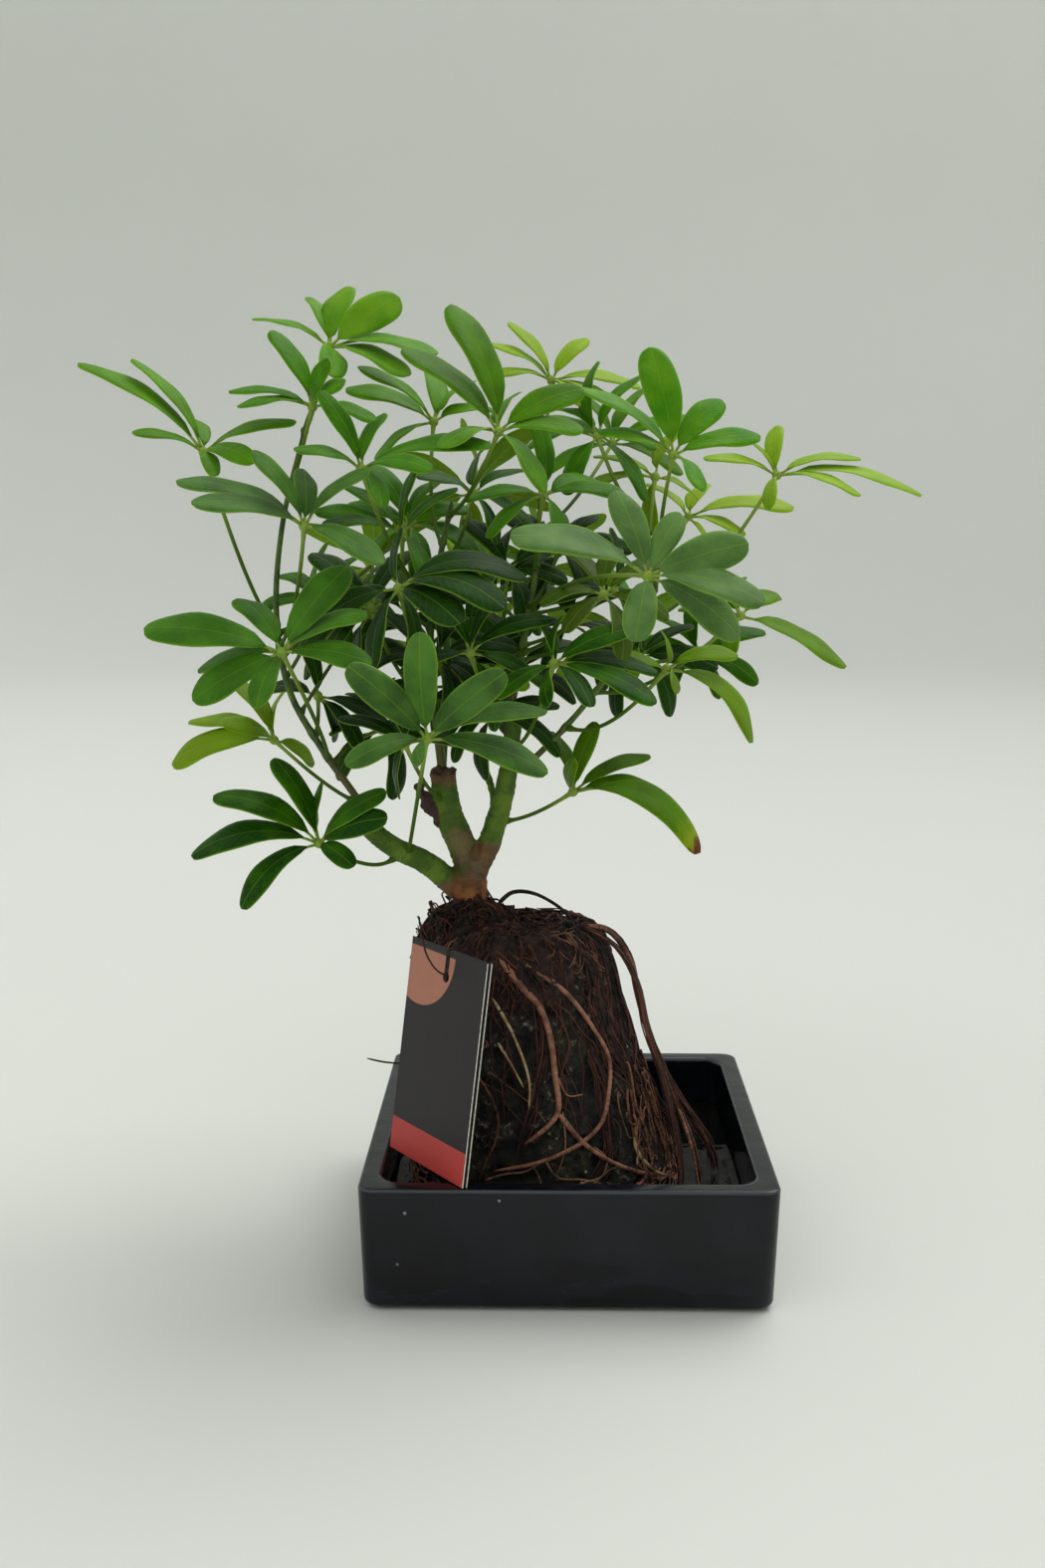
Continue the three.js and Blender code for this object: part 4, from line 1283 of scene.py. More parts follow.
@dataclass
class Shoot:
    """One green shoot: a slender stem with swollen rings where stalks leave it."""

    name: str
    limb: Limb
    buds: Sequence[float]
    slim: float = 0.7

    def build(self, material: Material) -> None:
        """The shoot: its radius swells by 0.4 exp(-(z - bud)^2 / 2) at each bud's height.

        Args:
            material: the stem's green skin.
        """
        steps, sides, limb = 90, 16, self.limb
        path = evenly(limb.curve(160), steps)
        start = path[0] - unit(path[1] - path[0]) * 2.0
        path = np.concatenate([start[None], path])
        radius = self.slim * np.concatenate([[limb.start], tapered(steps, limb.start, limb.end, 0.03)])
        scar = np.zeros(steps + 1)
        for height in self.buds:
            radius = radius + 0.4 * np.exp(-((path[:, 2] - height) ** 2) / 2.0)
            scar = np.maximum(scar, np.exp(-((path[:, 2] - height + 2.2) ** 2) / 0.5))
        surface = tubes(path[None], radius[None], sides)
        mark = np.stack([np.linspace(0, 1, steps + 1) * 4, scar, np.zeros(steps + 1)], axis=-1)
        surface.marks = {"bark": np.repeat(mark, sides, axis=0)}
        surface.piece(f"{self.name}_stem", [material], "green_stem", [self.name])


# ---- leaves
LeafletRow = tuple[float, ...]


@dataclass(frozen=True)
class Leaflet:
    """One leaflet: its direction and reach, how its face turns, and its arch."""

    clock: float
    lean: float
    reach: float
    face: Optional[float] = None
    arch: float = 0.10

    def axes(self) -> tuple[Array, Array, Array]:
        """The leaflet's own directions.

        Returns:
            The way along it, out of its upper side, and across it.
        """
        c, tip = math.radians(self.clock), math.radians(self.lean)
        along = np.array([math.cos(c) * math.cos(tip), -math.sin(tip), math.sin(c) * math.cos(tip)])
        if self.face is None:
            rear = unit(np.array([0, 0.7, 1.0]))
            normal = unit(rear - along * (rear @ along))
        else:
            viewer = np.array([0.0, -1.0, 0.0])
            shown = unit(viewer - along * (viewer @ along))
            side = np.cross(along, shown)
            side = side if side[2] >= 0 else -side
            normal = shown * self.face + side * math.sqrt(1 - self.face**2)
        return along, normal, np.cross(normal, along)


@dataclass
class Leaf:
    """One compound leaf: a stalk with leaflets that spread from its tip."""

    name: str
    hub: Triple
    stem: str
    height: float
    tone: Tone
    # lightness: partly the leaf's age, partly painted shade that is lower deep in the crown
    light: float
    # yellowing; below 0 a painted grey sheen
    yellow_and_sheen: float
    leaflets: Sequence[LeafletRow]
    burnt: tuple[int, ...] = ()
    bow: float = 0.35
    width: float = 0.36
    stalk_share: float = 0.12
    rows: int = 15
    columns: int = 6

    def blade(self, leaflet: Leaflet, rng: Random, light: float, burnt: float) -> Surface:
        """One leaflet's blade, closed round its margin.

        The middle line is hub + along r t + normal 4 a r t (1 - t), bent a little to one side. At
        share s of the blade the half width is w s^0.7 (1 - s)^0.45, brought to its greatest value
        at three fifths of the way. Across it, with v from -1 to 1, the skin rises as a shallow V that
        turns down at the margin, and the margin waves a little.

        Args:
            leaflet: direction, reach and arch.
            rng: the random source.
            light: lightness of this leaflet.
            burnt: how brown its tip is.

        Returns:
            The blade.
        """
        _, _, across = leaflet.axes()
        reach = leaflet.reach
        s = 1 - (1 - np.linspace(0, 1, self.rows)) ** 1.55
        t = self.stalk_share + (1 - self.stalk_share) * s
        sweep, twist = rng.uniform(-0.05, 0.05), rng.uniform(-0.14, 0.14)
        path = self.line(leaflet, t, sweep)
        forward = unit(np.gradient(path, t, axis=0))
        sideways = unit(across - forward * (forward @ across)[:, None])
        up = np.cross(forward, sideways)
        cos, sin = np.cos(twist * s)[:, None], np.sin(twist * s)[:, None]
        sideways, up = sideways * cos + up * sin, up * cos - sideways * sin
        profile = s**0.7 * (1 - s) ** 0.45 / 0.463
        half = 0.5 * self.width * reach * rng.uniform(0.93, 1.05) * profile + 0.28
        v = np.linspace(-1, 1, self.columns + 1)
        keel = (np.sqrt(v**2 + 0.02) - 0.14)[None] * (0.34 - 0.22 * s)[:, None]
        curl = (v**2)[None] * (0.10 + 0.16 * s)[:, None]
        wave = 0.05 * (v**2 * np.sign(v))[None] * np.sin(TURN * (1.7 * s + rng.uniform()))[:, None]
        lift = half[:, None] * (keel - curl + wave)
        thick = 0.26 * (1 - 0.55 * v**6)[None]
        flat = path[:, None] + sideways[:, None] * (half[:, None] * v)[..., None]
        below = flat + up[:, None] * (lift - thick)[..., None]
        above = flat + up[:, None] * (lift + thick)[..., None]
        rings = np.concatenate([below, above[:, ::-1]], axis=1)
        ones = np.ones((self.rows, self.columns + 1))
        side = np.concatenate([-ones, ones], axis=1)
        span = half[:, None] * np.concatenate([v, v[::-1]])[None]
        run = np.broadcast_to((reach * (t - self.stalk_share))[:, None], side.shape)
        brown = burnt * s[:, None] * np.ones_like(side)
        return stack(rings, {
            "blade": np.stack([run, span, side], axis=-1),
            "tint": np.stack([np.full_like(side, light), np.full_like(side, self.yellow_and_sheen), brown], axis=-1),
            "rim": np.abs(np.concatenate([v, v[::-1]]))[None, :, None] * np.ones((self.rows, 1, 3)),
        })

    def line(self, leaflet: Leaflet, t: Array, sweep: float) -> Array:
        """The leaflet's middle line.

        Args:
            leaflet: direction, reach and arch.
            t: shares of its reach.
            sweep: how far it bends to one side.

        Returns:
            The points, one a share.
        """
        along, normal, across = leaflet.axes()
        reach = leaflet.reach
        rise = 4 * leaflet.arch * reach * t * (1 - t)
        return (
            np.array(self.hub)
            + along * (reach * t)[:, None]
            + normal * rise[:, None]
            + across * (sweep * reach * t * t)[:, None]
        )

    def stalk_marks(self, surface: Surface, light: float, tender: Amount) -> Surface:
        """Puts a stalk's marks on a tube in place of its grain.

        Args:
            surface: the tube.
            light: its lightness.
            tender: 0 at the stem and 1 at the hub.

        Returns:
            The same tube.
        """
        none = np.zeros((len(surface.points), 3))
        off_rib = 9.0
        blade = np.stack([none[:, 0] + tender, none[:, 1] + off_rib, none[:, 2]], axis=-1)
        surface.marks = {"blade": blade, "tint": none + np.array([light, self.yellow_and_sheen, 0.0]), "rim": none}
        return surface

    def rib(self, leaflet: Leaflet, light: float) -> Surface:
        """The leaflet's own stalk, which goes on under the blade as its midrib.

        Args:
            leaflet: direction, reach and arch.
            light: its lightness.

        Returns:
            The stalk.
        """
        steps = 9
        t = np.linspace(0.0, 0.8, steps)
        _, normal, _ = leaflet.axes()
        path = self.line(leaflet, t, 0.0) - normal * (0.25 + 0.1 * t)[:, None]
        radius = np.interp(t, [0, 0.15, 0.3, 0.8], [0.65, 0.5, 0.36, 0.1])
        return self.stalk_marks(tubes(path[None], radius[None], 6), light, 1.0)

    def petiole(self, limb: Limb, light: float) -> Surface:
        """The leaf's stalk: the curve (1-t)^2 a + 2t(1-t) b + t^2 c from the stem to the hub.

        Args:
            limb: the stem that it leaves.
            light: its lightness.

        Returns:
            The stalk, swollen at both ends, and the knob that the leaflets spread from.
        """
        hub, steps, sides = np.array(self.hub), 26, 10
        start, out, along = limb.bud(self.height, hub)
        start = start - out * 0.9
        span = np.linalg.norm(hub - start)
        bend = start + out * self.bow * span + along * 0.12 * span
        t = np.linspace(0, 1, steps)[:, None]
        path = (1 - t) ** 2 * start + 2 * t * (1 - t) * bend + t**2 * hub
        share = t[:, 0]
        radius = 0.78 + 0.9 * np.exp(-((share * span / 3.0) ** 2))
        radius = radius + 0.45 * np.exp(-(((1 - share) * span / 2.5) ** 2))
        stalk = tubes(path[None], radius[None], sides)
        aim, size = unit(path[-1] - path[-2]), 2.0
        bead = np.linspace(0, math.pi, 9)
        middle = hub - aim * (np.cos(bead) * size)[:, None]
        knob = tubes(middle[None], (size * np.sin(bead) ** 0.8 + 0.02)[None], sides)
        tender = np.concatenate([np.repeat(share, sides), np.ones(len(knob.points))])
        return self.stalk_marks(Surface.joined([stalk, knob]), light, tender)

    def build(self) -> Surface:
        """The whole leaf.

        Returns:
            Its stalk, its knob, and a blade and a rib for each leaflet.
        """
        rng = np.random.default_rng(sum(self.name.encode()))
        limb = SHOOTS.get(self.stem) or LIMBS[self.stem]
        parts = [self.petiole(limb, min(self.light, 1.0))]
        for number, row in enumerate(self.leaflets):
            leaflet = Leaflet(*row)
            light = self.light + rng.uniform(-0.12, 0.12)
            burnt = 1.0 if number in self.burnt else 0.0
            parts += [self.blade(leaflet, rng, light, burnt), self.rib(leaflet, light)]
        return Surface.joined(parts)


YOUNG, GREEN, DARK = Tone.YOUNG, Tone.GREEN, Tone.DARK

# node, hub, stem, height on it, tone, lightness (partly painted shade), yellowness (below 0 a painted grey
# sheen), leaflets as (clock, lean, reach, face, arch)
LEAVES: tuple[Leaf, ...] = (
    Leaf("leaf_top_left", (-95, 25, 356), "left_shoot", 322, YOUNG, 0.3, 0.0, [
        (78, -35, 32, 0.9), (35, -15, 35, 0.95), (160, 0, 32, 0.25), (355, 10, 44, 0.3),
        (338, 25, 38, 0.4), (285, 62, 30, 0.5), (113, -40, 30, 0.6)], width=0.41),
    Leaf("leaf_upper_left", (-98, -4, 331), "left_shoot", 300, GREEN, 0.7, 0.0, [
        (120, 0, 32, 0.5), (171, 5, 32, 0.3), (183, 30, 30, 0.35), (58, 45, 25, 0.7),
        (24, 50, 25, 0.6), (345, 25, 28, 0.4)]),
    Leaf("leaf_top_middle", (-55, 40, 328), "centre_shoot", 280, GREEN, 0.8, 0.05, [
        (160, 0, 38, 0.45), (145, 30, 40, 0.3), (95, -50, 34, 0.8), (15, -40, 32, 0.45),
        (50, -45, 32, 0.4), (215, 30, 32, 0.4)]),
    Leaf("leaf_high_middle", (-78, -20, 307), "centre_shoot", 256, GREEN, 0.6, 0.0, [
        (118, 18, 32, 0.6), (73, -40, 29, 0.7), (10, 5, 50, 0.4), (358, 38, 36, 0.45),
        (164, 40, 30, 0.4), (305, 55, 30, 0.5)], width=0.28),
    Leaf("leaf_far_left", (-141, 0, 314), "left_shoot", 248, GREEN, 0.8, 0.05, [
        (145, 0, 58, 0.3), (128, -10, 46, 0.3), (122, -58, 31, 0.5), (165, 40, 30, 0.3),
        (15, 15, 40, 0.45), (350, 45, 36, 0.6), (308, 62, 26, 0.7)], bow=0.12, width=0.24),
    Leaf("leaf_left_front", (-97, -38, 286), "left_shoot", 240, GREEN, 0.3, -0.2, [
        (160, 5, 48, 0.3), (168, 38, 45, 0.45), (100, -40, 28, 0.8), (40, 5, 32, 0.45),
        (335, 35, 40, 0.6), (122, 20, 33, 0.4)], width=0.32),
    Leaf("leaf_inner_left", (-65, 4, 283), "centre_shoot", 240, GREEN, 0.3, 0.0, [
        (140, 0, 30, 0.35), (165, 20, 36, 0.4), (173, 42, 37, 0.35), (75, 5, 28, 0.5),
        (40, -10, 28, 0.45), (300, 45, 28, 0.5)], width=0.31),
    Leaf("leaf_big_left", (-104, -52, 241), "left_shoot", 197, GREEN, 0.5, -0.08, [
        (171, 10, 49, 0.6), (135, -40, 34, 0.65), (52, -18, 40, 0.9), (25, -10, 34, 0.45),
        (192, -15, 34, 0.4), (208, 15, 36, 0.9), (250, 48, 28, 0.9), (355, 10, 34, 0.6)]),
    Leaf("leaf_nearest", (-50, -76, 213), "left", 158, GREEN, 0.3, -0.2, [
        (136, 20, 39, 0.85), (90, 10, 38, 0.97), (42, 15, 38, 0.95), (15, 10, 44, 0.4),
        (346, 10, 44, 0.55), (193, 30, 32, 0.6), (262, 76, 24, 0.5)], width=0.31),
    Leaf("leaf_low_left", (-121, 25, 199), "left", 180, GREEN, 0.75, 0.3, [
        (195, 0, 44, 0.6, 0.16), (170, -20, 40, 0.35), (130, -30, 36, 0.4), (150, 50, 30, 0.4),
        (85, -50, 30, 0.4), (320, -40, 24, 0.4)]),
    Leaf("leaf_lowest_left", (-97, -17, 164), "left", 159.5, GREEN, 0.15, 0.0, [
        (183, 10, 49, 0.5, 0.18), (157, 0, 45, 0.5, 0.16), (121, -10, 38, 0.5), (88, -15, 24, 0.5),
        (38, 15, 36, 0.5), (27, 25, 35, 0.7), (344, 50, 26, 0.7), (217, 20, 39, 0.6, 0.16)], width=0.32),
    Leaf("leaf_top_centre", (-27, -12, 321), "centre_shoot", 290, GREEN, 0.6, 0.05, [
        (110, -5, 50, 0.6), (140, 0, 47, 0.55), (28, -10, 36, 0.75), (0, 15, 33, 0.45),
        (305, 40, 36, 0.5), (200, 52, 34, 0.35), (68, -58, 32, 0.5)]),
    Leaf("leaf_top_back", (-7, 70, 347), "right_shoot", 282, YOUNG, 0.8, 0.2, [
        (127, -10, 31, 0.5), (50, -30, 28, 0.8), (150, 5, 30, 0.3), (178, 30, 28, 0.3),
        (355, 0, 38, 0.4), (315, 50, 28, 0.4), (335, 20, 34, 0.35)], width=0.32),
    Leaf("leaf_top_right", (40, 4, 313), "outer_shoot", 275, YOUNG, 0.15, 0.0, [
        (103, -5, 42, 0.97), (50, -25, 32, 0.9), (10, 5, 34, 0.6), (145, 0, 46, 0.4),
        (165, 18, 32, 0.35), (300, 58, 30, 0.5)], width=0.35),
    Leaf("leaf_behind_right", (36, 48, 306), "outer_shoot", 262, GREEN, 0.95, 0.35, [
        (160, -20, 28, 0.35), (268, 0, 24, 0.6), (335, -30, 24, 0.35), (190, 10, 32, 0.35),
        (60, -40, 34, 0.4)]),
    Leaf("leaf_far_right", (88, 60, 307), "outer_shoot", 250, YOUNG, 0.75, 0.15, [
        (85, -40, 28, 0.8), (352, 0, 62, 0.25), (12, -15, 38, 0.25), (345, 28, 38, 0.3),
        (132, -20, 25, 0.35), (168, 5, 32, 0.35), (250, 55, 26, 0.5)], width=0.3),
    Leaf("leaf_big_right", (26, -72, 269), "right_shoot", 254, GREEN, 0.3, -0.4, [
        (163, 10, 50, 0.42), (110, -15, 32, 0.95), (60, -20, 26, 0.95), (19, 0, 36, 0.95),
        (348, 20, 42, 0.55), (328, 5, 38, 0.8), (260, 45, 30, 0.95)], width=0.38),
    Leaf("leaf_mid_right", (70, 27, 250), "outer_shoot", 222, GREEN, 0.75, 0.15, [
        (335, 0, 48, 0.4, 0.07), (25, -50, 30, 0.7), (80, -60, 28, 0.5), (135, 10, 30, 0.5),
        (175, -40, 30, 0.4), (250, 50, 26, 0.4)]),
    Leaf("leaf_low_right", (38, -4, 231), "outer_shoot", 208, GREEN, 0.5, 0.2, [
        (320, 5, 44, 0.5, 0.22), (95, -50, 22, 0.4), (10, 5, 28, 0.5, 0.16), (170, 20, 26, 0.5),
        (280, 74, 22, 0.4)], width=0.32),
    Leaf("leaf_centre_right", (-6, -28, 235), "right", 200, GREEN, 0.15, 0.0, [
        (115, -55, 32, 0.5), (80, -50, 26, 0.4), (25, 0, 32, 0.65), (210, 20, 26, 0.6),
        (315, 50, 30, 0.5), (355, -10, 40, 0.4), (340, 18, 42, 0.45), (262, 58, 26, 0.35)], width=0.32),
    Leaf("leaf_lowest_right", (2, 5, 181), "right", 171, GREEN, 0.45, 0.1, [
        (336, 10, 56, 0.5, 0.25), (357, -15, 38, 0.5, 0.14), (20, -25, 38, 0.5), (72, 5, 30, 0.85),
        (110, -40, 30, 0.65), (90, 50, 26, 0.5)], burnt=(0,), width=0.25),
    Leaf("leaf_centre_front", (-64, -27, 263), "centre_shoot", 222, DARK, 0.5, 0.0, [
        (5, 0, 48, 0.5, 0.2), (352, 25, 46, 0.5, 0.18), (335, 45, 38, 0.65), (88, -20, 24, 0.45),
        (212, 10, 44, 0.7, 0.18), (205, -30, 36, 0.5), (255, 35, 36, 0.5), (285, 15, 28, 0.4)]),
    Leaf("leaf_centre_low", (-38, -14, 238), "right", 212, GREEN, 0.05, 0.0, [
        (22, 0, 34, 0.5, 0.14), (62, -15, 30, 0.5), (128, 0, 30, 0.5, 0.14), (196, 30, 30, 0.5),
        (335, -12, 34, 0.5), (288, 15, 32, 0.5)], width=0.31),
    Leaf("leaf_inner_top", (-38, 24, 299), "centre_shoot", 272, DARK, 1.0, 0.0, [
        (165, 35, 28, 0.4), (78, -50, 32, 0.4), (25, -40, 30, 0.4), (295, 20, 24, 0.4),
        (330, -10, 30, 0.4)]),
    Leaf("leaf_upper_centre", (-10, 8, 298), "right_shoot", 270, GREEN, 0.55, 0.0, [
        (184, 0, 31, 0.45), (97, 0, 32, 0.65), (15, -45, 32, 0.7), (0, 10, 32, 0.45),
        (290, 50, 30, 0.4), (218, 25, 30, 0.4)]),
    Leaf("leaf_back_right", (53, 82, 290), "outer_shoot", 238, YOUNG, 0.85, 0.3, [
        (60, -50, 26, 0.7), (5, 0, 46, 0.3), (140, -30, 26, 0.35), (340, 30, 28, 0.35),
        (300, -30, 26, 0.4)]),
    Leaf("leaf_dark_right", (18, 12, 260), "right_shoot", 252, DARK, 0.4, 0.0, [
        (190, 0, 30, 0.5), (175, -50, 30, 0.35), (214, -50, 28, 0.4), (35, -50, 28, 0.4),
        (300, -30, 30, 0.4), (92, -25, 28, 0.4)]),
    Leaf("leaf_dark_left", (-100, 8, 219), "left_shoot", 206, DARK, 0.4, 0.0, [
        (105, -12, 22, 0.65), (335, 0, 34, 0.4), (312, 20, 30, 0.35), (180, -30, 32, 0.35),
        (285, -40, 26, 0.4)]),
    Leaf("leaf_low_centre", (-62, -30, 205), "centre", 180, DARK, 0.3, 0.0, [
        (160, -15, 28, 0.4), (355, -20, 28, 0.4), (262, -20, 24, 0.4), (65, -40, 28, 0.5),
        (120, -30, 26, 0.4)]),
    Leaf("leaf_rear_left", (-86, 76, 268), "left_shoot", 236, GREEN, 0.6, 0.0, [
        (150, -10, 36), (95, -30, 40), (40, -10, 42), (330, -25, 34), (265, -40, 36), (205, -25, 34)]),
    Leaf("leaf_rear_top", (-42, 88, 300), "centre_shoot", 252, GREEN, 0.8, 0.1, [
        (155, -15, 42), (100, -35, 40), (45, -20, 42), (350, -5, 36), (268, -20, 30), (205, -20, 42)]),
    Leaf("leaf_rear_right", (26, 76, 238), "right_shoot", 234, GREEN, 0.55, 0.0, [
        (165, -20, 38), (100, -40, 38), (35, -15, 36), (335, -20, 36), (275, -45, 32), (215, -20, 38)]),
    Leaf("leaf_rear_low", (-52, 74, 224), "centre", 187, GREEN, 0.35, 0.0, [
        (165, -15, 38), (105, -45, 30), (45, -20, 42), (345, -15, 38), (280, -40, 34), (215, -20, 38)]),
    Leaf("leaf_rear_middle", (-12, 98, 266), "right_shoot", 240, GREEN, 0.6, 0.0, [
        (160, -15, 36), (100, -35, 40), (40, -20, 42), (350, -20, 38), (270, -60, 34), (195, -20, 36)]),
    Leaf("leaf_rear_high", (20, 92, 322), "right_shoot", 286, GREEN, 0.7, 0.05, [
        (165, -10, 38, 0.4), (125, -20, 34, 0.4), (60, -30, 34, 0.5), (15, 0, 38, 0.4),
        (335, 10, 34, 0.4), (205, 5, 34, 0.4)]),
)


@dataclass(frozen=True)
class InnerLeaf:
    """A shaded leaf inside the crown: its place and look, and its leaflets' number and reach."""

    hub: Triple
    stem: str
    height: float
    tone: Tone
    # their dark tone and low lightness are partly painted shade deep in the crown
    light: float
    count: int
    reach: float
    yellow_and_sheen: float = 0.0


INNER: tuple[InnerLeaf, ...] = (
    InnerLeaf((-77, -2, 254), "centre_shoot", 218, DARK, 0.5, 8, 36),
    InnerLeaf((-52, 6, 234), "centre_shoot", 212, DARK, 0.3, 8, 34),
    InnerLeaf((-24, 22, 268), "right_shoot", 232, DARK, 0.5, 7, 34),
    InnerLeaf((-66, 38, 250), "centre_shoot", 246, DARK, 0.6, 7, 36),
    InnerLeaf((-91, 38, 240), "left_shoot", 214, DARK, 0.4, 7, 34),
    InnerLeaf((-30, 58, 256), "right_shoot", 246, GREEN, 0.25, 7, 36),
    InnerLeaf((13, -12, 260), "right_shoot", 237, DARK, 0.7, 7, 34, yellow_and_sheen=0.1),
    InnerLeaf((-4, 42, 275), "right_shoot", 256, DARK, 0.5, 7, 34),
    InnerLeaf((-20, 36, 226), "right_shoot", 226, DARK, 0.4, 7, 36),
    InnerLeaf((30, 40, 232), "outer_shoot", 226, DARK, 0.5, 7, 34),
    InnerLeaf((12, 44, 322), "outer_shoot", 281, GREEN, 0.5, 7, 34),
    InnerLeaf((-66, 46, 286), "left_shoot", 244, GREEN, 0.4, 7, 36),
    InnerLeaf((-102, 34, 255), "left_shoot", 228, GREEN, 0.3, 7, 34),
    InnerLeaf((-57, 28, 221), "centre", 188, DARK, 0.4, 7, 34),
    InnerLeaf((56, 52, 232), "outer_shoot", 232, GREEN, 0.4, 7, 32),
    InnerLeaf((-50, 95, 262), "centre_shoot", 262, YOUNG, 0.9, 7, 34, yellow_and_sheen=0.1),
    InnerLeaf((-76, 20, 204), "left_shoot", 194, DARK, 0.5, 7, 30),
    InnerLeaf((-30, 2, 212), "right", 206, DARK, 0.4, 7, 32),
    InnerLeaf((2, 34, 246), "right_shoot", 240, DARK, 0.6, 7, 36),
)


@dataclass
class Crown:
    """All the leaves."""

    seed: int = 61

    def build(self, skins: dict[Tone, Material]) -> None:
        """Builds each leaf of the table with the skin of its tone."""
        for leaf in LEAVES:
            leaf.build().piece(f"{leaf.name}_blades", [skins[leaf.tone]], leaf.tone.value, [leaf.name])

    def build_inner(self, skins: dict[Tone, Material]) -> None:
        """The shaded leaves inside the crown, one piece for each tone.

        A leaf's leaflets stand at even steps round the clock with some play; those that point up lean
        back and those that point down lean forward, by 38 degrees times the sine of the clock.

        Args:
            skins: the material of each tone.
        """
        rng = np.random.default_rng(self.seed)
        made: dict[Tone, list[Surface]] = {tone: [] for tone in Tone}
        for number, row in enumerate(INNER):
            count = row.count
            clock = rng.uniform(0, 360) + 360 / count * (np.arange(count) + rng.uniform(-0.22, 0.22, count))
            lean = -38 * np.sin(np.radians(clock)) + rng.uniform(-16, 16, count)
            reach = row.reach * rng.uniform(0.70, 1.01, count)
            face, arch = rng.uniform(0.35, 0.75, count), rng.uniform(0.1, 0.2, count)
            leaflets = np.stack([clock, lean, reach, face, arch], axis=1).tolist()
            name = f"inner_leaf_{number}"
            leaf = Leaf(name, row.hub, row.stem, row.height, row.tone, row.light, row.yellow_and_sheen, leaflets)
            made[row.tone].append(leaf.build())
        for tone, parts in made.items():
            Surface.joined(parts).piece(f"inner_{tone.value}_blades", [skins[tone]], tone.value)

    @staticmethod
    def buds(stem: str) -> list[float]:
        """The heights at which leaves leave a stem."""
        return [leaf.height for leaf in LEAVES if leaf.stem == stem]


# ---- roots
@dataclass(frozen=True)
class RootRoute:
    """A root seen from the front as (x, z, lift off the rock), with its radius."""

    radius: float
    route: tuple[tuple[float, ...], ...]
    skin: str = "red"


FRONT_ROOTS = (
    RootRoute(1.5, ((-30, 126, -3.5), (-26, 122, -0.8), (-18, 112), (-11, 104), (-7, 93), (-5, 78),
                    (-4, 64), (-11, 56), (-17, 52))),
    RootRoute(1.1, ((-4, 64), (5, 53), (15, 45), (27, 38), (40, 30, 2))),
    RootRoute(1.1, ((-26, 126, -3.5), (-20, 122, -1.0), (-2, 110), (10, 94), (16, 82), (16, 71),
                    (13, 59), (5, 52), (-11, 45), (-29, 41))),
    RootRoute(0.9, ((4, 124), (9, 120), (14, 106), (12, 90)), "fibre"),
    RootRoute(0.8, ((27, 57), (27, 46), (34, 36, 1), (40, 30, 2)), "pale"),
)
PALE_LEFT = (RootRoute(0.7, ((-29, 107), (-21, 93), (-15, 76), (-15, 65)), "pale"),)
PALE_LOW = (RootRoute(0.6, ((-27, 90, -0.5), (-22, 82, -0.5), (-17, 73, -0.5)), "pale"),)
THIN_ROOTS = (
    RootRoute(0.6, ((-21, 112), (-20.5, 116), (-17, 118.5), (-14.5, 118.5), (-11, 115))),
    RootRoute(0.5, ((-32, 37), (-24, 40), (-17, 41), (-13, 43), (-8, 46)), "tan"),
    RootRoute(0.45, ((-9, 46), (-4, 39), (5, 38), (13, 36)), "tan"),
    RootRoute(0.5, ((2, 35), (7, 37), (12, 38), (17, 41), (24, 40)), "tan"),
    RootRoute(0.4, ((-14, 44), (-11, 39), (-10, 35)), "tan"),
    RootRoute(0.4, ((10, 50), (15, 45), (14, 40), (9, 35)), "tan"),
    RootRoute(0.4, ((27, 40), (27.5, 43.5), (31, 44.5), (33.5, 41)), "pale"),
    RootRoute(0.35, ((-4, 77), (0, 70), (6, 70)), "tan"),
    RootRoute(0.3, ((-16, 82), (-8, 78), (-1, 77)), "fibre"),
    RootRoute(0.4, ((-13, 123), (-7, 115), (-4, 108), (-5, 99)), "fibre"),
    RootRoute(0.35, ((-30, 76), (-27, 66), (-30, 52), (-27, 40)), "fibre"),
    RootRoute(0.35, ((-2, 64), (-1, 50), (-4, 40)), "tan"),
)
# strands, spread, route as (x, z)
DARK_BANDS = (
    (30, 3.2, ((11, 106), (14, 96), (18, 87), (25, 75), (33, 61), (40, 50))),
    (12, 2.4, ((9, 86), (14, 74), (15, 61), (17, 47), (12, 38))),
    (9, 2.0, ((6, 126), (10, 116), (12, 104), (11, 92))),
    (8, 3.0, ((-14, 112), (-10, 92), (-13, 70), (-19, 48))),
)

# radius and route of the roots that stand off the rock
SIDE_ROOTS = (
    (1.3, ((5, -12, 130.5), (16, -12, 128.5), (24, -12, 118), (28, -12, 103), (32, -13, 88), (38, -15, 74),
           (44, -17, 58), (50, -20, 44), (53, -22, 28.2))),
    (1.0, ((5, -12, 130.5), (18, -17, 124), (27, -20, 110), (31, -23, 92), (37, -24, 74), (42, -28, 54),
           (44, -33, 40), (44, -37, 28.2))),
    (0.7, ((38, -15, 74), (45, -10, 60), (56, -12, 42), (60, -10, 28.2))),
    (0.7, ((44, -17, 58), (49, -28, 44), (52, -32, 28.2))),
)
LEFT_ROOT = (0.5, ((-52, -14, 77), (-62, -15, 74.5), (-72, -16, 75), (-80, -17, 77)))
HOOK_ROOT = (0.45, ((-35.5, -31.3, 119), (-38.5, -39.5, 117.8), (-42.3, -47.5, 119.3), (-45.5, -50.3, 120.7),
                   (-49, -53.4, 123.6), (-52.5, -55.5, 130), (-54, -55, 135.5), (-56, -53, 141)))
ARCH_ROOT = (0.9, ((-28, -6, 137.5), (-22, -5, 142), (-14, -4, 141.5), (-4, -3, 136), (2, -2, 130)))


@dataclass(frozen=True)
class Veil:
    """Fine strands that run over the rock's top and down its side.

    The skin is the name of a root's skin and its slot. The angles and the stray are degrees round the
    rock, start and length are shares of the way that Rock.over takes, and lift is off its plain form.
    """

    name: str
    skin: tuple[str, str]
    count: int
    radius: float
    angles: Pair
    start: Pair
    length: Pair
    stray: float
    lift: Pair


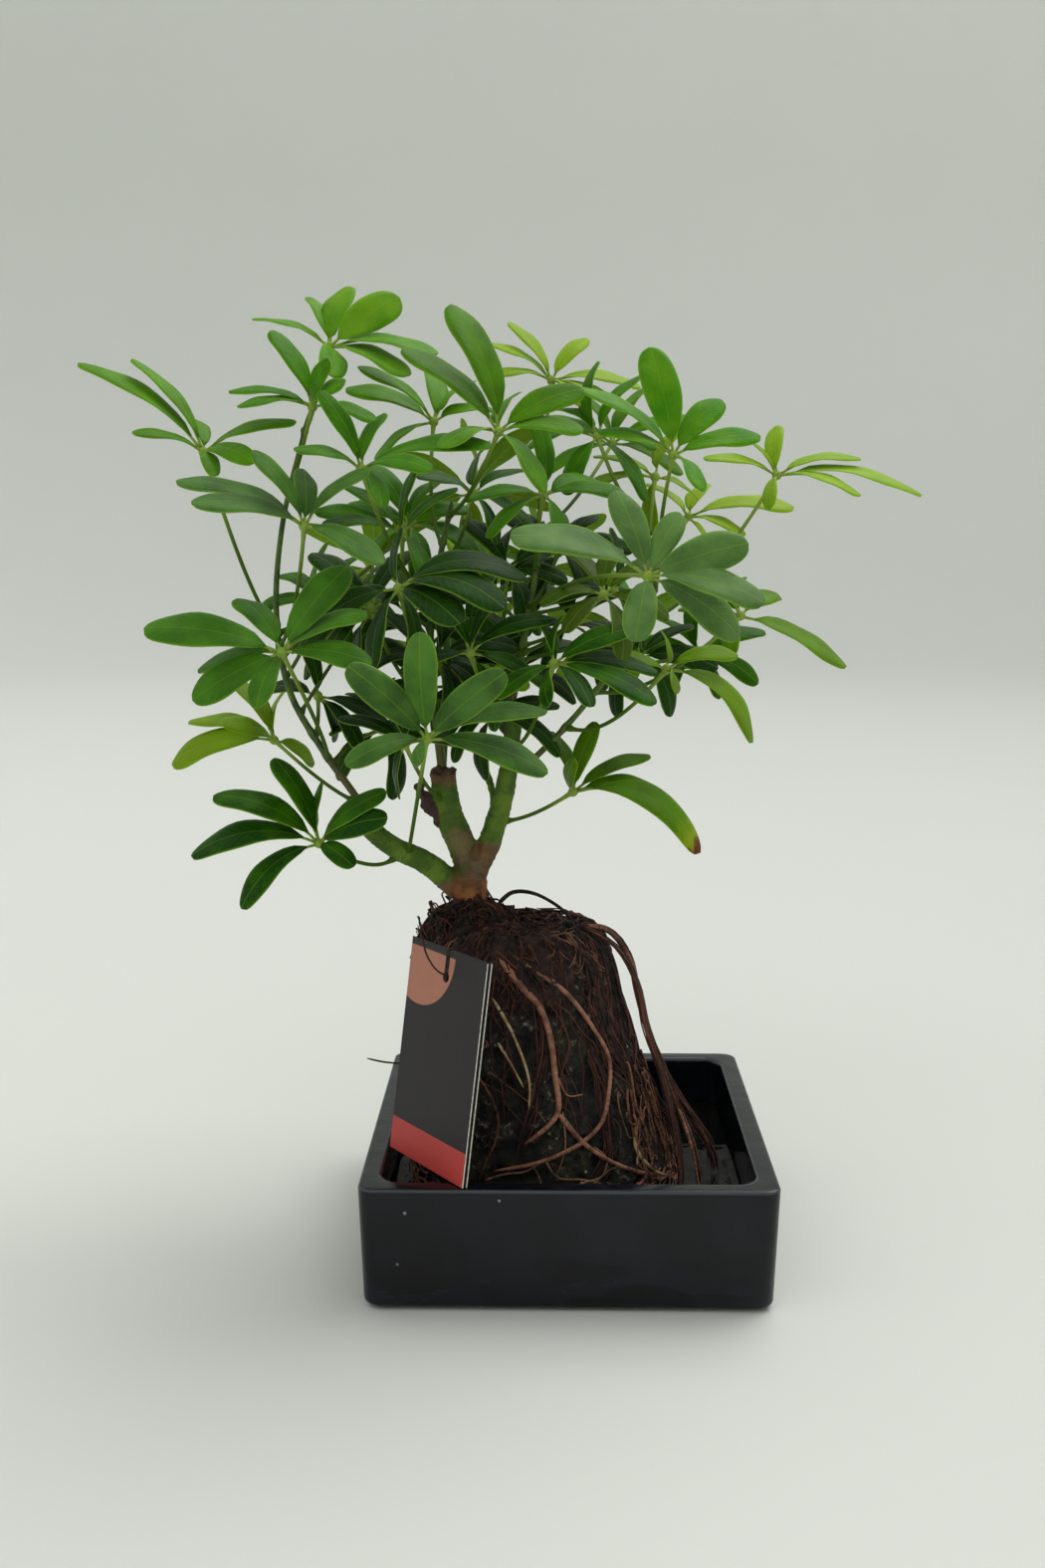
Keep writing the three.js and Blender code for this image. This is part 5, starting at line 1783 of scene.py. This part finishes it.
BROWN, RUDDY = ("fibre", "fibre"), ("side", "red_root")
VEILS = (
    Veil("fine_roots_top", BROWN, 185, 0.44, (-180, 180), (0.15, 0.95), (0.15, 0.35), 26, (-0.6, 2.2)),
    Veil("tan_roots_top", RUDDY, 26, 0.3, (-105, -30), (0.85, 1.02), (0.08, 0.22), 11, (0.0, 1.8)),
    Veil("fine_roots_front", BROWN, 34, 0.36, (-125, -35), (0.9, 1.3), (0.2, 0.6), 10, (-0.8, 0.4)),
    Veil("fine_roots_right", BROWN, 60, 0.42, (-45, 35), (0.85, 1.4), (0.2, 0.6), 10, (-0.6, 0.9)),
    Veil("tangle_roots", RUDDY, 36, 0.42, (-42, 8), (1.42, 1.66), (0.15, 0.34), 4.5, (-0.2, 3.2)),
    Veil("fine_roots_back", RUDDY, 70, 0.48, (40, 245), (0.7, 1.3), (0.3, 0.9), 18, (-0.8, 0.5)),
)


@dataclass
class Roots:
    """The roots that the CAD has as nodes, and the fine ones that only the scene has."""

    rock: Rock
    seat: float = 0.4
    seed: int = 31

    def knotty(self, path: Array, radius: float, end: float, sides: int, seed: int) -> Surface:
        """One root: a tube whose radius swells and shrinks along it and closes at both ends.

        Args:
            path: its middle line.
            radius, end: its radius at the two ends.
            sides: points round it.
            seed: picks the swellings.

        Returns:
            The root.
        """
        rng = np.random.default_rng(seed)
        steps = len(path)
        swell = 1 + 0.10 * wander(rng, 1, steps)[0, :, 0]
        opening = np.sqrt(np.clip(np.linspace(0, 1, steps) / 0.06, 0.1, 1))
        return tubes(path[None], (tapered(steps, radius, end, 0.06) * swell * opening)[None], sides)

    def on_front(self, root: RootRoute) -> Array:
        """A route on the front of the rock, off it by its radius and its lift.

        Args:
            root: the route as seen from the front.

        Returns:
            Its points.
        """
        rows = np.array([row if len(row) == 3 else (*row, 0.0) for row in root.route])
        y = self.rock.front(rows[:, 0], rows[:, 1]) - root.radius - self.seat - rows[:, 2]
        return np.stack([rows[:, 0], y, rows[:, 1]], axis=1)

    @staticmethod
    def drawn(points: Union[Array, Sequence[Triple]]) -> Array:
        """A smooth route through these points, in 64 even steps."""
        return evenly(smooth_route(points, 120), 64)

    def build_front(
        self, skins: Skins, name: str, slot: str, nodes: Sequence[str], roots: Sequence[RootRoute]
    ) -> None:
        """One piece of roots on the rock's front, each root in its own skin.

        Args:
            skins: the roots' skins.
            name, slot, nodes: what the piece is and stands for.
            roots: the routes.
        """
        made = [
            self.knotty(self.drawn(self.on_front(root)), root.radius, root.radius * 0.62, 12, index)
            for index, root in enumerate(roots)
        ]
        Surface.joined(made).piece(name, [skins[root.skin] for root in roots for _ in range(2)], slot, nodes)

    def build_bands(self, material: Material) -> None:
        """Bands of fine dark strands that hug the rock's front and stray from their band's middle.

        Args:
            material: the strands' skin.
        """
        rng = np.random.default_rng(self.seed + 1)
        made, steps = [], 26
        for count, spread, route in DARK_BANDS:
            guide = smooth_route([(x, 0.0, z) for x, z in route], steps)[None]
            swing = wander(rng, count, steps)
            paths = guide + spread * (0.35 * swing + 0.55 * rng.normal(size=(count, 1, 3)))
            lift = column(rng, count, -0.4, 1.4) + 0.3 * np.abs(wander(rng, count, steps)[..., 0])
            paths[..., 1] = self.rock.front(paths[..., 0], paths[..., 2]) - lift
            made.append(strands(rng, paths, 0.4, 0.2, 0.08, 1.5))
        Surface.joined(made).piece("dark_root_bands", [material], "fibre")

    def build_free(
        self, material: Material, name: str, slot: str, nodes: Sequence[str],
        roots: Sequence[tuple[float, Sequence[Triple]]],
    ) -> None:
        """One piece of roots that stand off the rock.

        Args:
            material: the roots' skin.
            name, slot, nodes: what the piece is and stands for.
            roots: the radius and route of each.
        """
        made = [
            self.knotty(self.drawn(route), radius, radius * 0.68, 10, index + 7)
            for index, (radius, route) in enumerate(roots)
        ]
        Surface.joined(made).piece(name, [material], slot, nodes)

    def build_veil(self, rng: Random, veil: Veil, skins: Skins) -> None:
        """One piece of fine strands over the rock.

        At share t a strand is at its angle plus the stray times (n t + swing / 2), where n is random,
        and at its start plus its length times t.

        Args:
            rng: the random source.
            veil: the strands' ranges.
            skins: the roots' skins.
        """
        steps, count, (skin, slot) = 24, veil.count, veil.skin
        t = np.linspace(0, 1, steps)[None]
        swing = wander(rng, count, steps)
        angle = column(rng, count, *veil.angles)
        angle = np.radians(angle + veil.stray * (drift(rng, count) * t + 0.5 * swing[..., 0]))
        way = column(rng, count, *veil.start) + column(rng, count, *veil.length) * t
        way = np.clip(way + 0.02 * swing[..., 1], 0.02, 1.86)
        off = column(rng, count, *veil.lift) + 0.45 * np.abs(swing[..., 2])
        paths = self.rock.over(angle, way, off)
        made = strands(rng, paths, veil.radius, veil.radius * 0.5, 0.1, 1.5)
        made.piece(veil.name, [skins[skin]], slot)

    def build_fine(self, skins: Skins) -> None:
        """The fine roots that veil the rock, in separate pieces for each side.

        Args:
            skins: the roots' skins.
        """
        rng = np.random.default_rng(self.seed)
        for veil in VEILS:
            self.build_veil(rng, veil, skins)
        self.build_foot(skins["side"], rng)
        self.build_bunch(skins["fibre"], rng)
        self.build_bands(skins["fibre"])

    def build_foot(self, material: Material, rng: Random) -> None:
        """The tangle round the rock's foot, at the water's face and a little above it.

        Args:
            material: the strands' skin.
            rng: the random source.
        """
        count, steps = 105, 20
        t = np.linspace(0, 1, steps)[None]
        swing = wander(rng, count, steps)
        in_front = rng.uniform(size=(count, 1)) < 0.7
        centre = np.where(in_front, column(rng, count, -140, 10), column(rng, count, 10, 220))
        angle = np.radians(centre + column(rng, count, -28, 28) * t + 3 * swing[..., 0])
        z = 28.2 + column(rng, count, 0, 7) * (1 - t) + 1.4 * np.abs(swing[..., 1])
        off = column(rng, count, 0.0, 7) * t + 0.8 * np.abs(swing[..., 2])
        paths = self.rock.skin(angle, z, off)
        strands(rng, paths, 0.5, 0.25, 0.1).piece("fine_roots_foot", [material], "red_root")

    def build_bunch(self, material: Material, rng: Random) -> None:
        """The bunch of fine strands that runs beside the roots off the rock's right side.

        Args:
            material: the strands' skin.
            rng: the random source.
        """
        steps, each = 30, 13
        made = []
        for _, route in SIDE_ROOTS[:3]:
            core = evenly(smooth_route(route, 120), steps)[None]
            spread = np.linspace(0.8, 2.0, steps)[None, :, None]
            paths = core + wander(rng, each, steps, 0.9) * spread * 0.5
            paths = paths + rng.normal(size=(each, 1, 3)) * spread * 0.35
            paths[..., 2] = np.maximum(paths[..., 2], 27.5)
            made.append(strands(rng, paths, 0.45, 0.25, 0.08))
        Surface.joined(made).piece("fine_roots_side", [material], "fibre")


@dataclass
class Mound:
    """The mat of fibre on top of the rock, round the trunk's foot."""

    centre: Pair = (-38.0, -3.0)
    radius: Pair = (24.0, 22.0)
    top: float = 139.0
    bottom: float = 110.0
    spill_angle: Pair = (-134.0, -50.0)
    spill_way: Pair = (0.5, 1.22)
    spill_thick: float = 5.0
    seed: int = 41

    def dome(self, angle: Array, rise: Array, lift: Amount) -> Array:
        """Points on the mound: a dome whose radius is cos and whose height is sin of the rise.

        Args:
            angle: the direction from its middle.
            rise: how steeply the point stands over its foot.
            lift: how far off the dome.

        Returns:
            The points.
        """
        spread = np.maximum(np.cos(rise), 0.02)
        z = self.bottom + (self.top - self.bottom) * np.sin(rise)
        return np.stack([
            self.centre[0] + (self.radius[0] * spread + lift * np.cos(rise)) * np.cos(angle),
            self.centre[1] + (self.radius[1] * spread + lift * np.cos(rise)) * np.sin(angle),
            z + lift * np.sin(rise),
        ], axis=-1)

    def build(self, material: Material) -> None:
        """A lumpy core with fibres laid over it in all directions.

        Args:
            material: the fibre.
        """
        rng = np.random.default_rng(self.seed)
        columns, rows = 110, 44
        angle, rise = np.meshgrid(TURN * np.arange(columns) / columns, np.linspace(0, math.pi / 2, rows))
        core = self.dome(angle, rise, 0.0)
        lump = -1.2 + 1.0 * ripple(core, 9, 42) + 0.6 * ripple(core, 3.4, 43)
        core = self.dome(angle, rise, np.minimum(lump, 0.6))
        mat = stack(core, {"grain": np.zeros_like(core)})
        count, steps = 460, 12
        t = np.linspace(0, 1, steps)[None]
        swing = wander(rng, count, steps)
        turn = column(rng, count, -math.pi, math.pi) + drift(rng, count) * 0.5 * t + 0.10 * swing[..., 0]
        climb = column(rng, count, 0.0, 1.2) + drift(rng, count) * 0.5 * t + 0.10 * swing[..., 1]
        off = (column(rng, count, 0.4, 2.6) + 0.6 * swing[..., 2]) * np.sin(math.pi * t) ** 0.7 - 1.2
        fibres = strands(rng, self.dome(turn, np.clip(climb, 0, 1.45), off), 0.38, 0.2, 0.15, 1.5, 4)
        Surface.joined([mat, fibres]).piece("fibre_mat", [material], "fibre", ["fibre_mound"])

    def patch(self, u: Array, v: Array) -> tuple[Array, Array]:
        """The angle and the way on the rock of a place on the spill, as over_edge counts it."""
        (low, high), (first, last) = np.radians(self.spill_angle), self.spill_way
        return (low + high) / 2 + (high - low) / 2 * u, (first + last) / 2 + (last - first) / 2 * v

    def over_edge(self, rock: Rock, u: Array, v: Array, lift: Amount) -> Array:
        """Points of the spill on the rock: u from -1 to 1 goes round it and v from -1 to 1 down it.

        The outer skin stands off by the thickness times the square root of (1 - u^2)(1 - v^2), so that
        the spill thins out to nothing at its edges.

        Args:
            rock: the rock that it lies on.
            u, v: the place on the spill.
            lift: how far off the outer skin.

        Returns:
            The points.
        """
        cover = np.sqrt(np.clip((1 - u**2) * (1 - v**2), 0, 1))
        return rock.over(*self.patch(u, v), self.spill_thick * cover - 1.6 + lift * (0.3 + 0.7 * cover))

    def build_spill(self, material: Material, rock: Rock) -> None:
        """The fibre that spills over the rock's front edge, and hides where the roots begin.

        Args:
            material: the fibre.
            rock: the rock that it lies on.
        """
        rng = np.random.default_rng(self.seed + 1)
        u, v = np.meshgrid(np.linspace(-1, 1, 72), np.linspace(-1, 1, 48))
        outer = self.over_edge(rock, u, v, 0.0)
        outer = self.over_edge(rock, u, v, 1.3 * ripple(outer, 8, 44) + 0.7 * ripple(outer, 3, 45))
        rings = np.concatenate([rock.over(*self.patch(u, v), -4.0), outer[:, ::-1]], axis=1)
        mat = stack(rings, {"grain": np.zeros_like(rings)})
        count, steps = 300, 12
        t = np.linspace(0, 1, steps)[None]
        swing = wander(rng, count, steps)
        across = column(rng, count, -0.95, 0.95) + drift(rng, count) * 0.4 * t + 0.1 * swing[..., 0]
        down = column(rng, count, -0.9, 0.75) + column(rng, count, 0.1, 0.6) * t + 0.1 * swing[..., 1]
        off = column(rng, count, -0.4, 1.0) + 0.8 * swing[..., 2]
        paths = self.over_edge(rock, np.clip(across, -1.1, 1.1), np.clip(down, -1, 1.25), off)
        fibres = strands(rng, paths, 0.4, 0.2, 0.15, 1.4, 4)
        Surface.joined([mat, fibres]).piece("fibre_spill", [material], "fibre")

    def build_wisps(self, material: Material) -> None:
        """Fibres that climb the trunk's foot on its right, and loops that stand off the mat on its left.

        A climbing fibre goes down from the bark and out by r t^2.2; a loop is an arch of height
        4 h t (1 - t) over two points of the mat.

        Args:
            material: the fibre.
        """
        rng = np.random.default_rng(self.seed + 2)
        count, steps = 34, 16
        t = np.linspace(0, 1, steps)[None]
        swing = wander(rng, count, steps)
        angle = np.radians(column(rng, count, -75, 75) + 14 * swing[..., 0] * t)
        radius = column(rng, count, 5.4, 6.6) + column(rng, count, 8, 15) * t**2.2
        z = column(rng, count, 137, 147) * (1 - t) + column(rng, count, 127, 132) * t + 0.5 * swing[..., 1]
        stem_x = LIMBS["foot"].route[0][0]
        climb = np.stack([stem_x + radius * np.cos(angle), radius * np.sin(angle), z], axis=-1)
        loops = 26
        turn = np.radians(column(rng, loops, 120, 250))
        turn = turn + column(rng, loops, -0.5, 0.5) * t
        ends = self.dome(turn, column(rng, loops, 0.3, 1.0) + 0.0 * t, -0.5)
        high = column(rng, loops, 2.0, 8.0) * 4 * t * (1 - t)
        arch = ends + high[..., None] * np.array([-0.35, -0.2, 0.9]) + 0.5 * wander(rng, loops, steps)
        made = strands(rng, np.concatenate([climb, arch]), 0.45, 0.28, 0.1)
        made.piece("fibre_wisps", [material], "fibre")


# ---- hang tag
@dataclass
class HangTag:
    """The folded card that stands on the rim and hooks on a root by its open slot."""

    width: float = 50.0
    height: float = 83.0
    leaf: float = 0.5
    gape: float = 1.8
    corner: Triple = (-38.2, -76.2, 48.3)
    across: Triple = (-30.8, 39.3, 0.0)
    rise: Triple = (9.6, 7.4, 85.0)
    slot_from: float = 25.0
    slot_width: float = 2.6
    slot_depth: float = 10.5
    slot_radius: float = 2.0

    def outline(self) -> Array:
        """The card's outline with its slot: straight sides, and an arc from 45 to -225 degrees.

        Returns:
            Its points across and up the card, (n, 2).
        """
        angle = np.radians(np.linspace(45, -225, 25))
        half, low = self.slot_width / 2, self.height - self.slot_depth
        arc = np.stack([
            self.slot_from + self.slot_radius * np.cos(angle), low + self.slot_radius * np.sin(angle)
        ], axis=1)
        before = [(0, 0), (self.width, 0), (self.width, self.height), (self.slot_from + half, self.height),
                  (self.slot_from + half, low + self.slot_radius)]
        after = [(self.slot_from - half, self.height), (0, self.height)]
        return np.concatenate([np.array(before, float), arc, np.array(after, float)])

    def build(self, printed: Material, inside: Material, paper: Material) -> None:
        """Both leaves of the card, each turned about the fold at its far edge.

        Args:
            printed: the printed face.
            inside: the faces that the fold hides, and every cut edge but the one down the open side,
                darkened there as painted shade.
            paper: the cut edge down the open side.
        """
        line = self.outline()
        count = len(line)
        k = np.arange(count)
        after = (k + 1) % count
        wall = np.stack([k, after, after + count, k + count], axis=-1)
        low, high = k[::-1][None], k[None] + count
        mark = np.pad(np.concatenate([line, line]), ((0, 0), (0, 1)))
        across, rise = unit(np.array(self.across)), unit(np.array(self.rise))
        face = unit(np.cross(across, rise))
        opened = math.asin(self.gape / self.width)
        parts = []
        for turn, outer in ((opened / 2, self.leaf), (-opened / 2, 0.0)):
            levels = []
            for depth in (0.0, self.leaf):
                u = self.width + (line[:, 0] - self.width) * math.cos(turn) + depth * math.sin(turn)
                w = -(line[:, 0] - self.width) * math.sin(turn) + depth * math.cos(turn)
                flat = np.array(self.corner) + u[:, None] * across + line[:, 1:] * rise
                levels.append(flat + w[:, None] * face)
            shown, hidden = (high, low) if outer else (low, high)
            faces = [shown, hidden, wall[:-1], wall[-1:]]
            parts.append(Surface(np.concatenate(levels), faces, {"card": mark}))
        # painted shade: all cut edges but the last take the dark inside colour, so the slot and the card's
        # edges read dark
        skins = [printed, inside, inside, paper] * 2
        Surface.joined(parts).piece("tag_card", skins, "card", ["hang_tag"], smooth=False)


# ---- studio
@dataclass
class Studio:
    """Camera, floor and lights."""

    camera_at: Triple = (-8.0, -624.0, 286.0)
    camera_pitch: float = 9.2
    camera_yaw: float = 0.93
    focal_pixels: float = 1600.0
    frame_height: float = 1575.0
    sensor: float = 36.0

    def build_camera(self) -> None:
        """The camera at the photograph's place, looking down by its pitch."""
        data = bpy.data.cameras.new("camera")
        data.sensor_width = self.sensor
        data.lens = self.sensor * self.focal_pixels / self.frame_height
        data.clip_start, data.clip_end = 0.01, 50.0
        made = link("camera", data)
        made.location = tuple(value * MM for value in self.camera_at)
        made.rotation_euler = (math.radians(90 - self.camera_pitch), 0.0, math.radians(self.camera_yaw))
        bpy.context.scene.camera = made

    def build_floor(self, material: Material) -> None:
        """A pale bowl: a flat floor that bends up into a wall all round.

        Args:
            material: the pale finish.
        """
        sides = 96
        bend = np.linspace(0, math.pi / 2, 16)[1:]
        flat, curve, wall = 2600.0, 1200.0, 3200.0
        level = np.array([4.0, *np.linspace(400, flat, 8)])
        radius = np.concatenate([level, flat + curve * np.sin(bend), [flat + curve]])[:, None]
        height = np.concatenate([level * 0, curve * (1 - np.cos(bend)), [wall]])[:, None]
        angle = TURN * np.arange(sides) / sides
        rings = np.stack([radius * np.cos(angle), radius * np.sin(angle), height + 0 * angle], axis=-1)
        squares, _ = ring_faces(len(radius), sides)
        mesh = bpy.data.meshes.new("floor")
        faces = squares.tolist() + [np.arange(sides).tolist()]
        mesh.from_pydata((rings.reshape(-1, 3) * MM).tolist(), [], faces)
        mesh.polygons.foreach_set("use_smooth", np.ones(len(faces), bool))
        mesh.materials.append(material)
        link("floor", mesh)

    def light(self, name: str, lean: Pair, spread: float, strength: float, tint: Colour) -> None:
        """One soft distant light.

        Args:
            name: the light's name.
            lean: how far it leans from straight above, towards +X and towards +Y, in degrees.
            spread: its width as seen from the plant, in degrees.
            strength: its power.
            tint: its colour.
        """
        data = bpy.data.lights.new(name, "SUN")
        data.angle, data.energy, data.color = math.radians(spread), strength, tint[:3]
        link(name, data).rotation_euler = (math.radians(-lean[1]), math.radians(lean[0]), 0.0)

    def build_lights(self) -> None:
        """A wide light above and behind, a weak one in front, and a pale sky; colours stay plain."""
        white = rgb(255, 254, 250)
        self.light("above_behind", (24.0, 22.0), 50.0, 1.7, white)
        self.light("front_fill", (-38.0, -48.0), 70.0, 0.7, white)
        world = bpy.data.worlds.new("sky")
        world.use_nodes = True
        back = world.node_tree.nodes["Background"]
        back.inputs["Color"].default_value = rgb(240, 244, 242)
        back.inputs["Strength"].default_value = 0.62
        bpy.context.scene.world = world
        bpy.context.scene.view_settings.view_transform = "Standard"


def main() -> None:
    """Builds the plant, its holder and the studio."""
    logging.basicConfig(level=logging.INFO, format="%(message)s")
    studio = Studio()
    studio.build_camera()
    studio.build_floor(Backdrop().build())
    studio.build_lights()

    rock = Rock()
    tray = Tray()
    tray.build_bowl(Glaze().build())
    tray.build_water(StillWater().build(), rock)
    rock.build(Lava().build())
    fibre = Fibre().build()
    mound = Mound()
    mound.build(fibre)
    mound.build_spill(fibre, rock)
    mound.build_wisps(fibre)
    Trunk().build(Bark().build())
    stem = GreenStem().build()
    for name, limb in SHOOTS.items():
        Shoot(name, limb, Crown.buds(name)).build(stem)

    skins = {
        "red": Root("red_root", rgb(172, 118, 92), rgb(104, 64, 48)).build(),
        "side": Root("side_root", rgb(140, 90, 66), rgb(70, 45, 35)).build(),
        "tan": Root("tan_root", rgb(166, 126, 96), rgb(96, 66, 48)).build(),
        "pale": Root("pale_root", rgb(206, 180, 136), rgb(146, 112, 76)).build(),
        "fibre": fibre,
    }
    roots = Roots(rock)
    roots.build_front(skins, "front_root_strands", "red_root", ["front_roots"], FRONT_ROOTS)
    roots.build_front(skins, "pale_left_strand", "pale_root", ["pale_root_left"], PALE_LEFT)
    roots.build_front(skins, "pale_low_strand", "pale_root", ["pale_root_low"], PALE_LOW)
    roots.build_front(skins, "thin_root_strands", "pale_root", [], THIN_ROOTS)
    roots.build_free(skins["side"], "side_root_strands", "red_root", ["side_roots"], SIDE_ROOTS)
    roots.build_free(fibre, "arch_strand", "fibre", ["arch_root"], [ARCH_ROOT])
    roots.build_free(fibre, "hook_strand", "fibre", ["hook_root"], [HOOK_ROOT])
    roots.build_free(fibre, "left_root_strand", "fibre", [], [LEFT_ROOT])
    roots.build_fine(skins)
    cut = Paper("card_cut", rgb(226, 222, 214), rgb(186, 180, 172)).build()
    # this dark card colour also paints shade on the tag's cut edges
    inside = Paper("card_inside_and_edge_shade", rgb(64, 60, 62), rgb(48, 45, 48)).build()
    HangTag().build(Print().build(), inside, cut)

    finishes = (
        LeafSkin(Tone.YOUNG, rgb(60, 130, 4), rgb(150, 188, 38), rgb(150, 186, 30), glow=0.4),
        LeafSkin(Tone.GREEN, rgb(24, 68, 4), rgb(90, 158, 2), rgb(92, 134, 14)),
        # the dark tone's colours are partly painted shade for the leaves deep in the crown
        LeafSkin(Tone.DARK, rgb(15, 40, 6), rgb(40, 86, 14), rgb(58, 88, 20), glow=0.1, gloss=0.11),
    )
    blades = {finish.tone: finish.build() for finish in finishes}
    crown = Crown()
    crown.build(blades)
    crown.build_inner(blades)


if __name__ == "__main__":
    main()
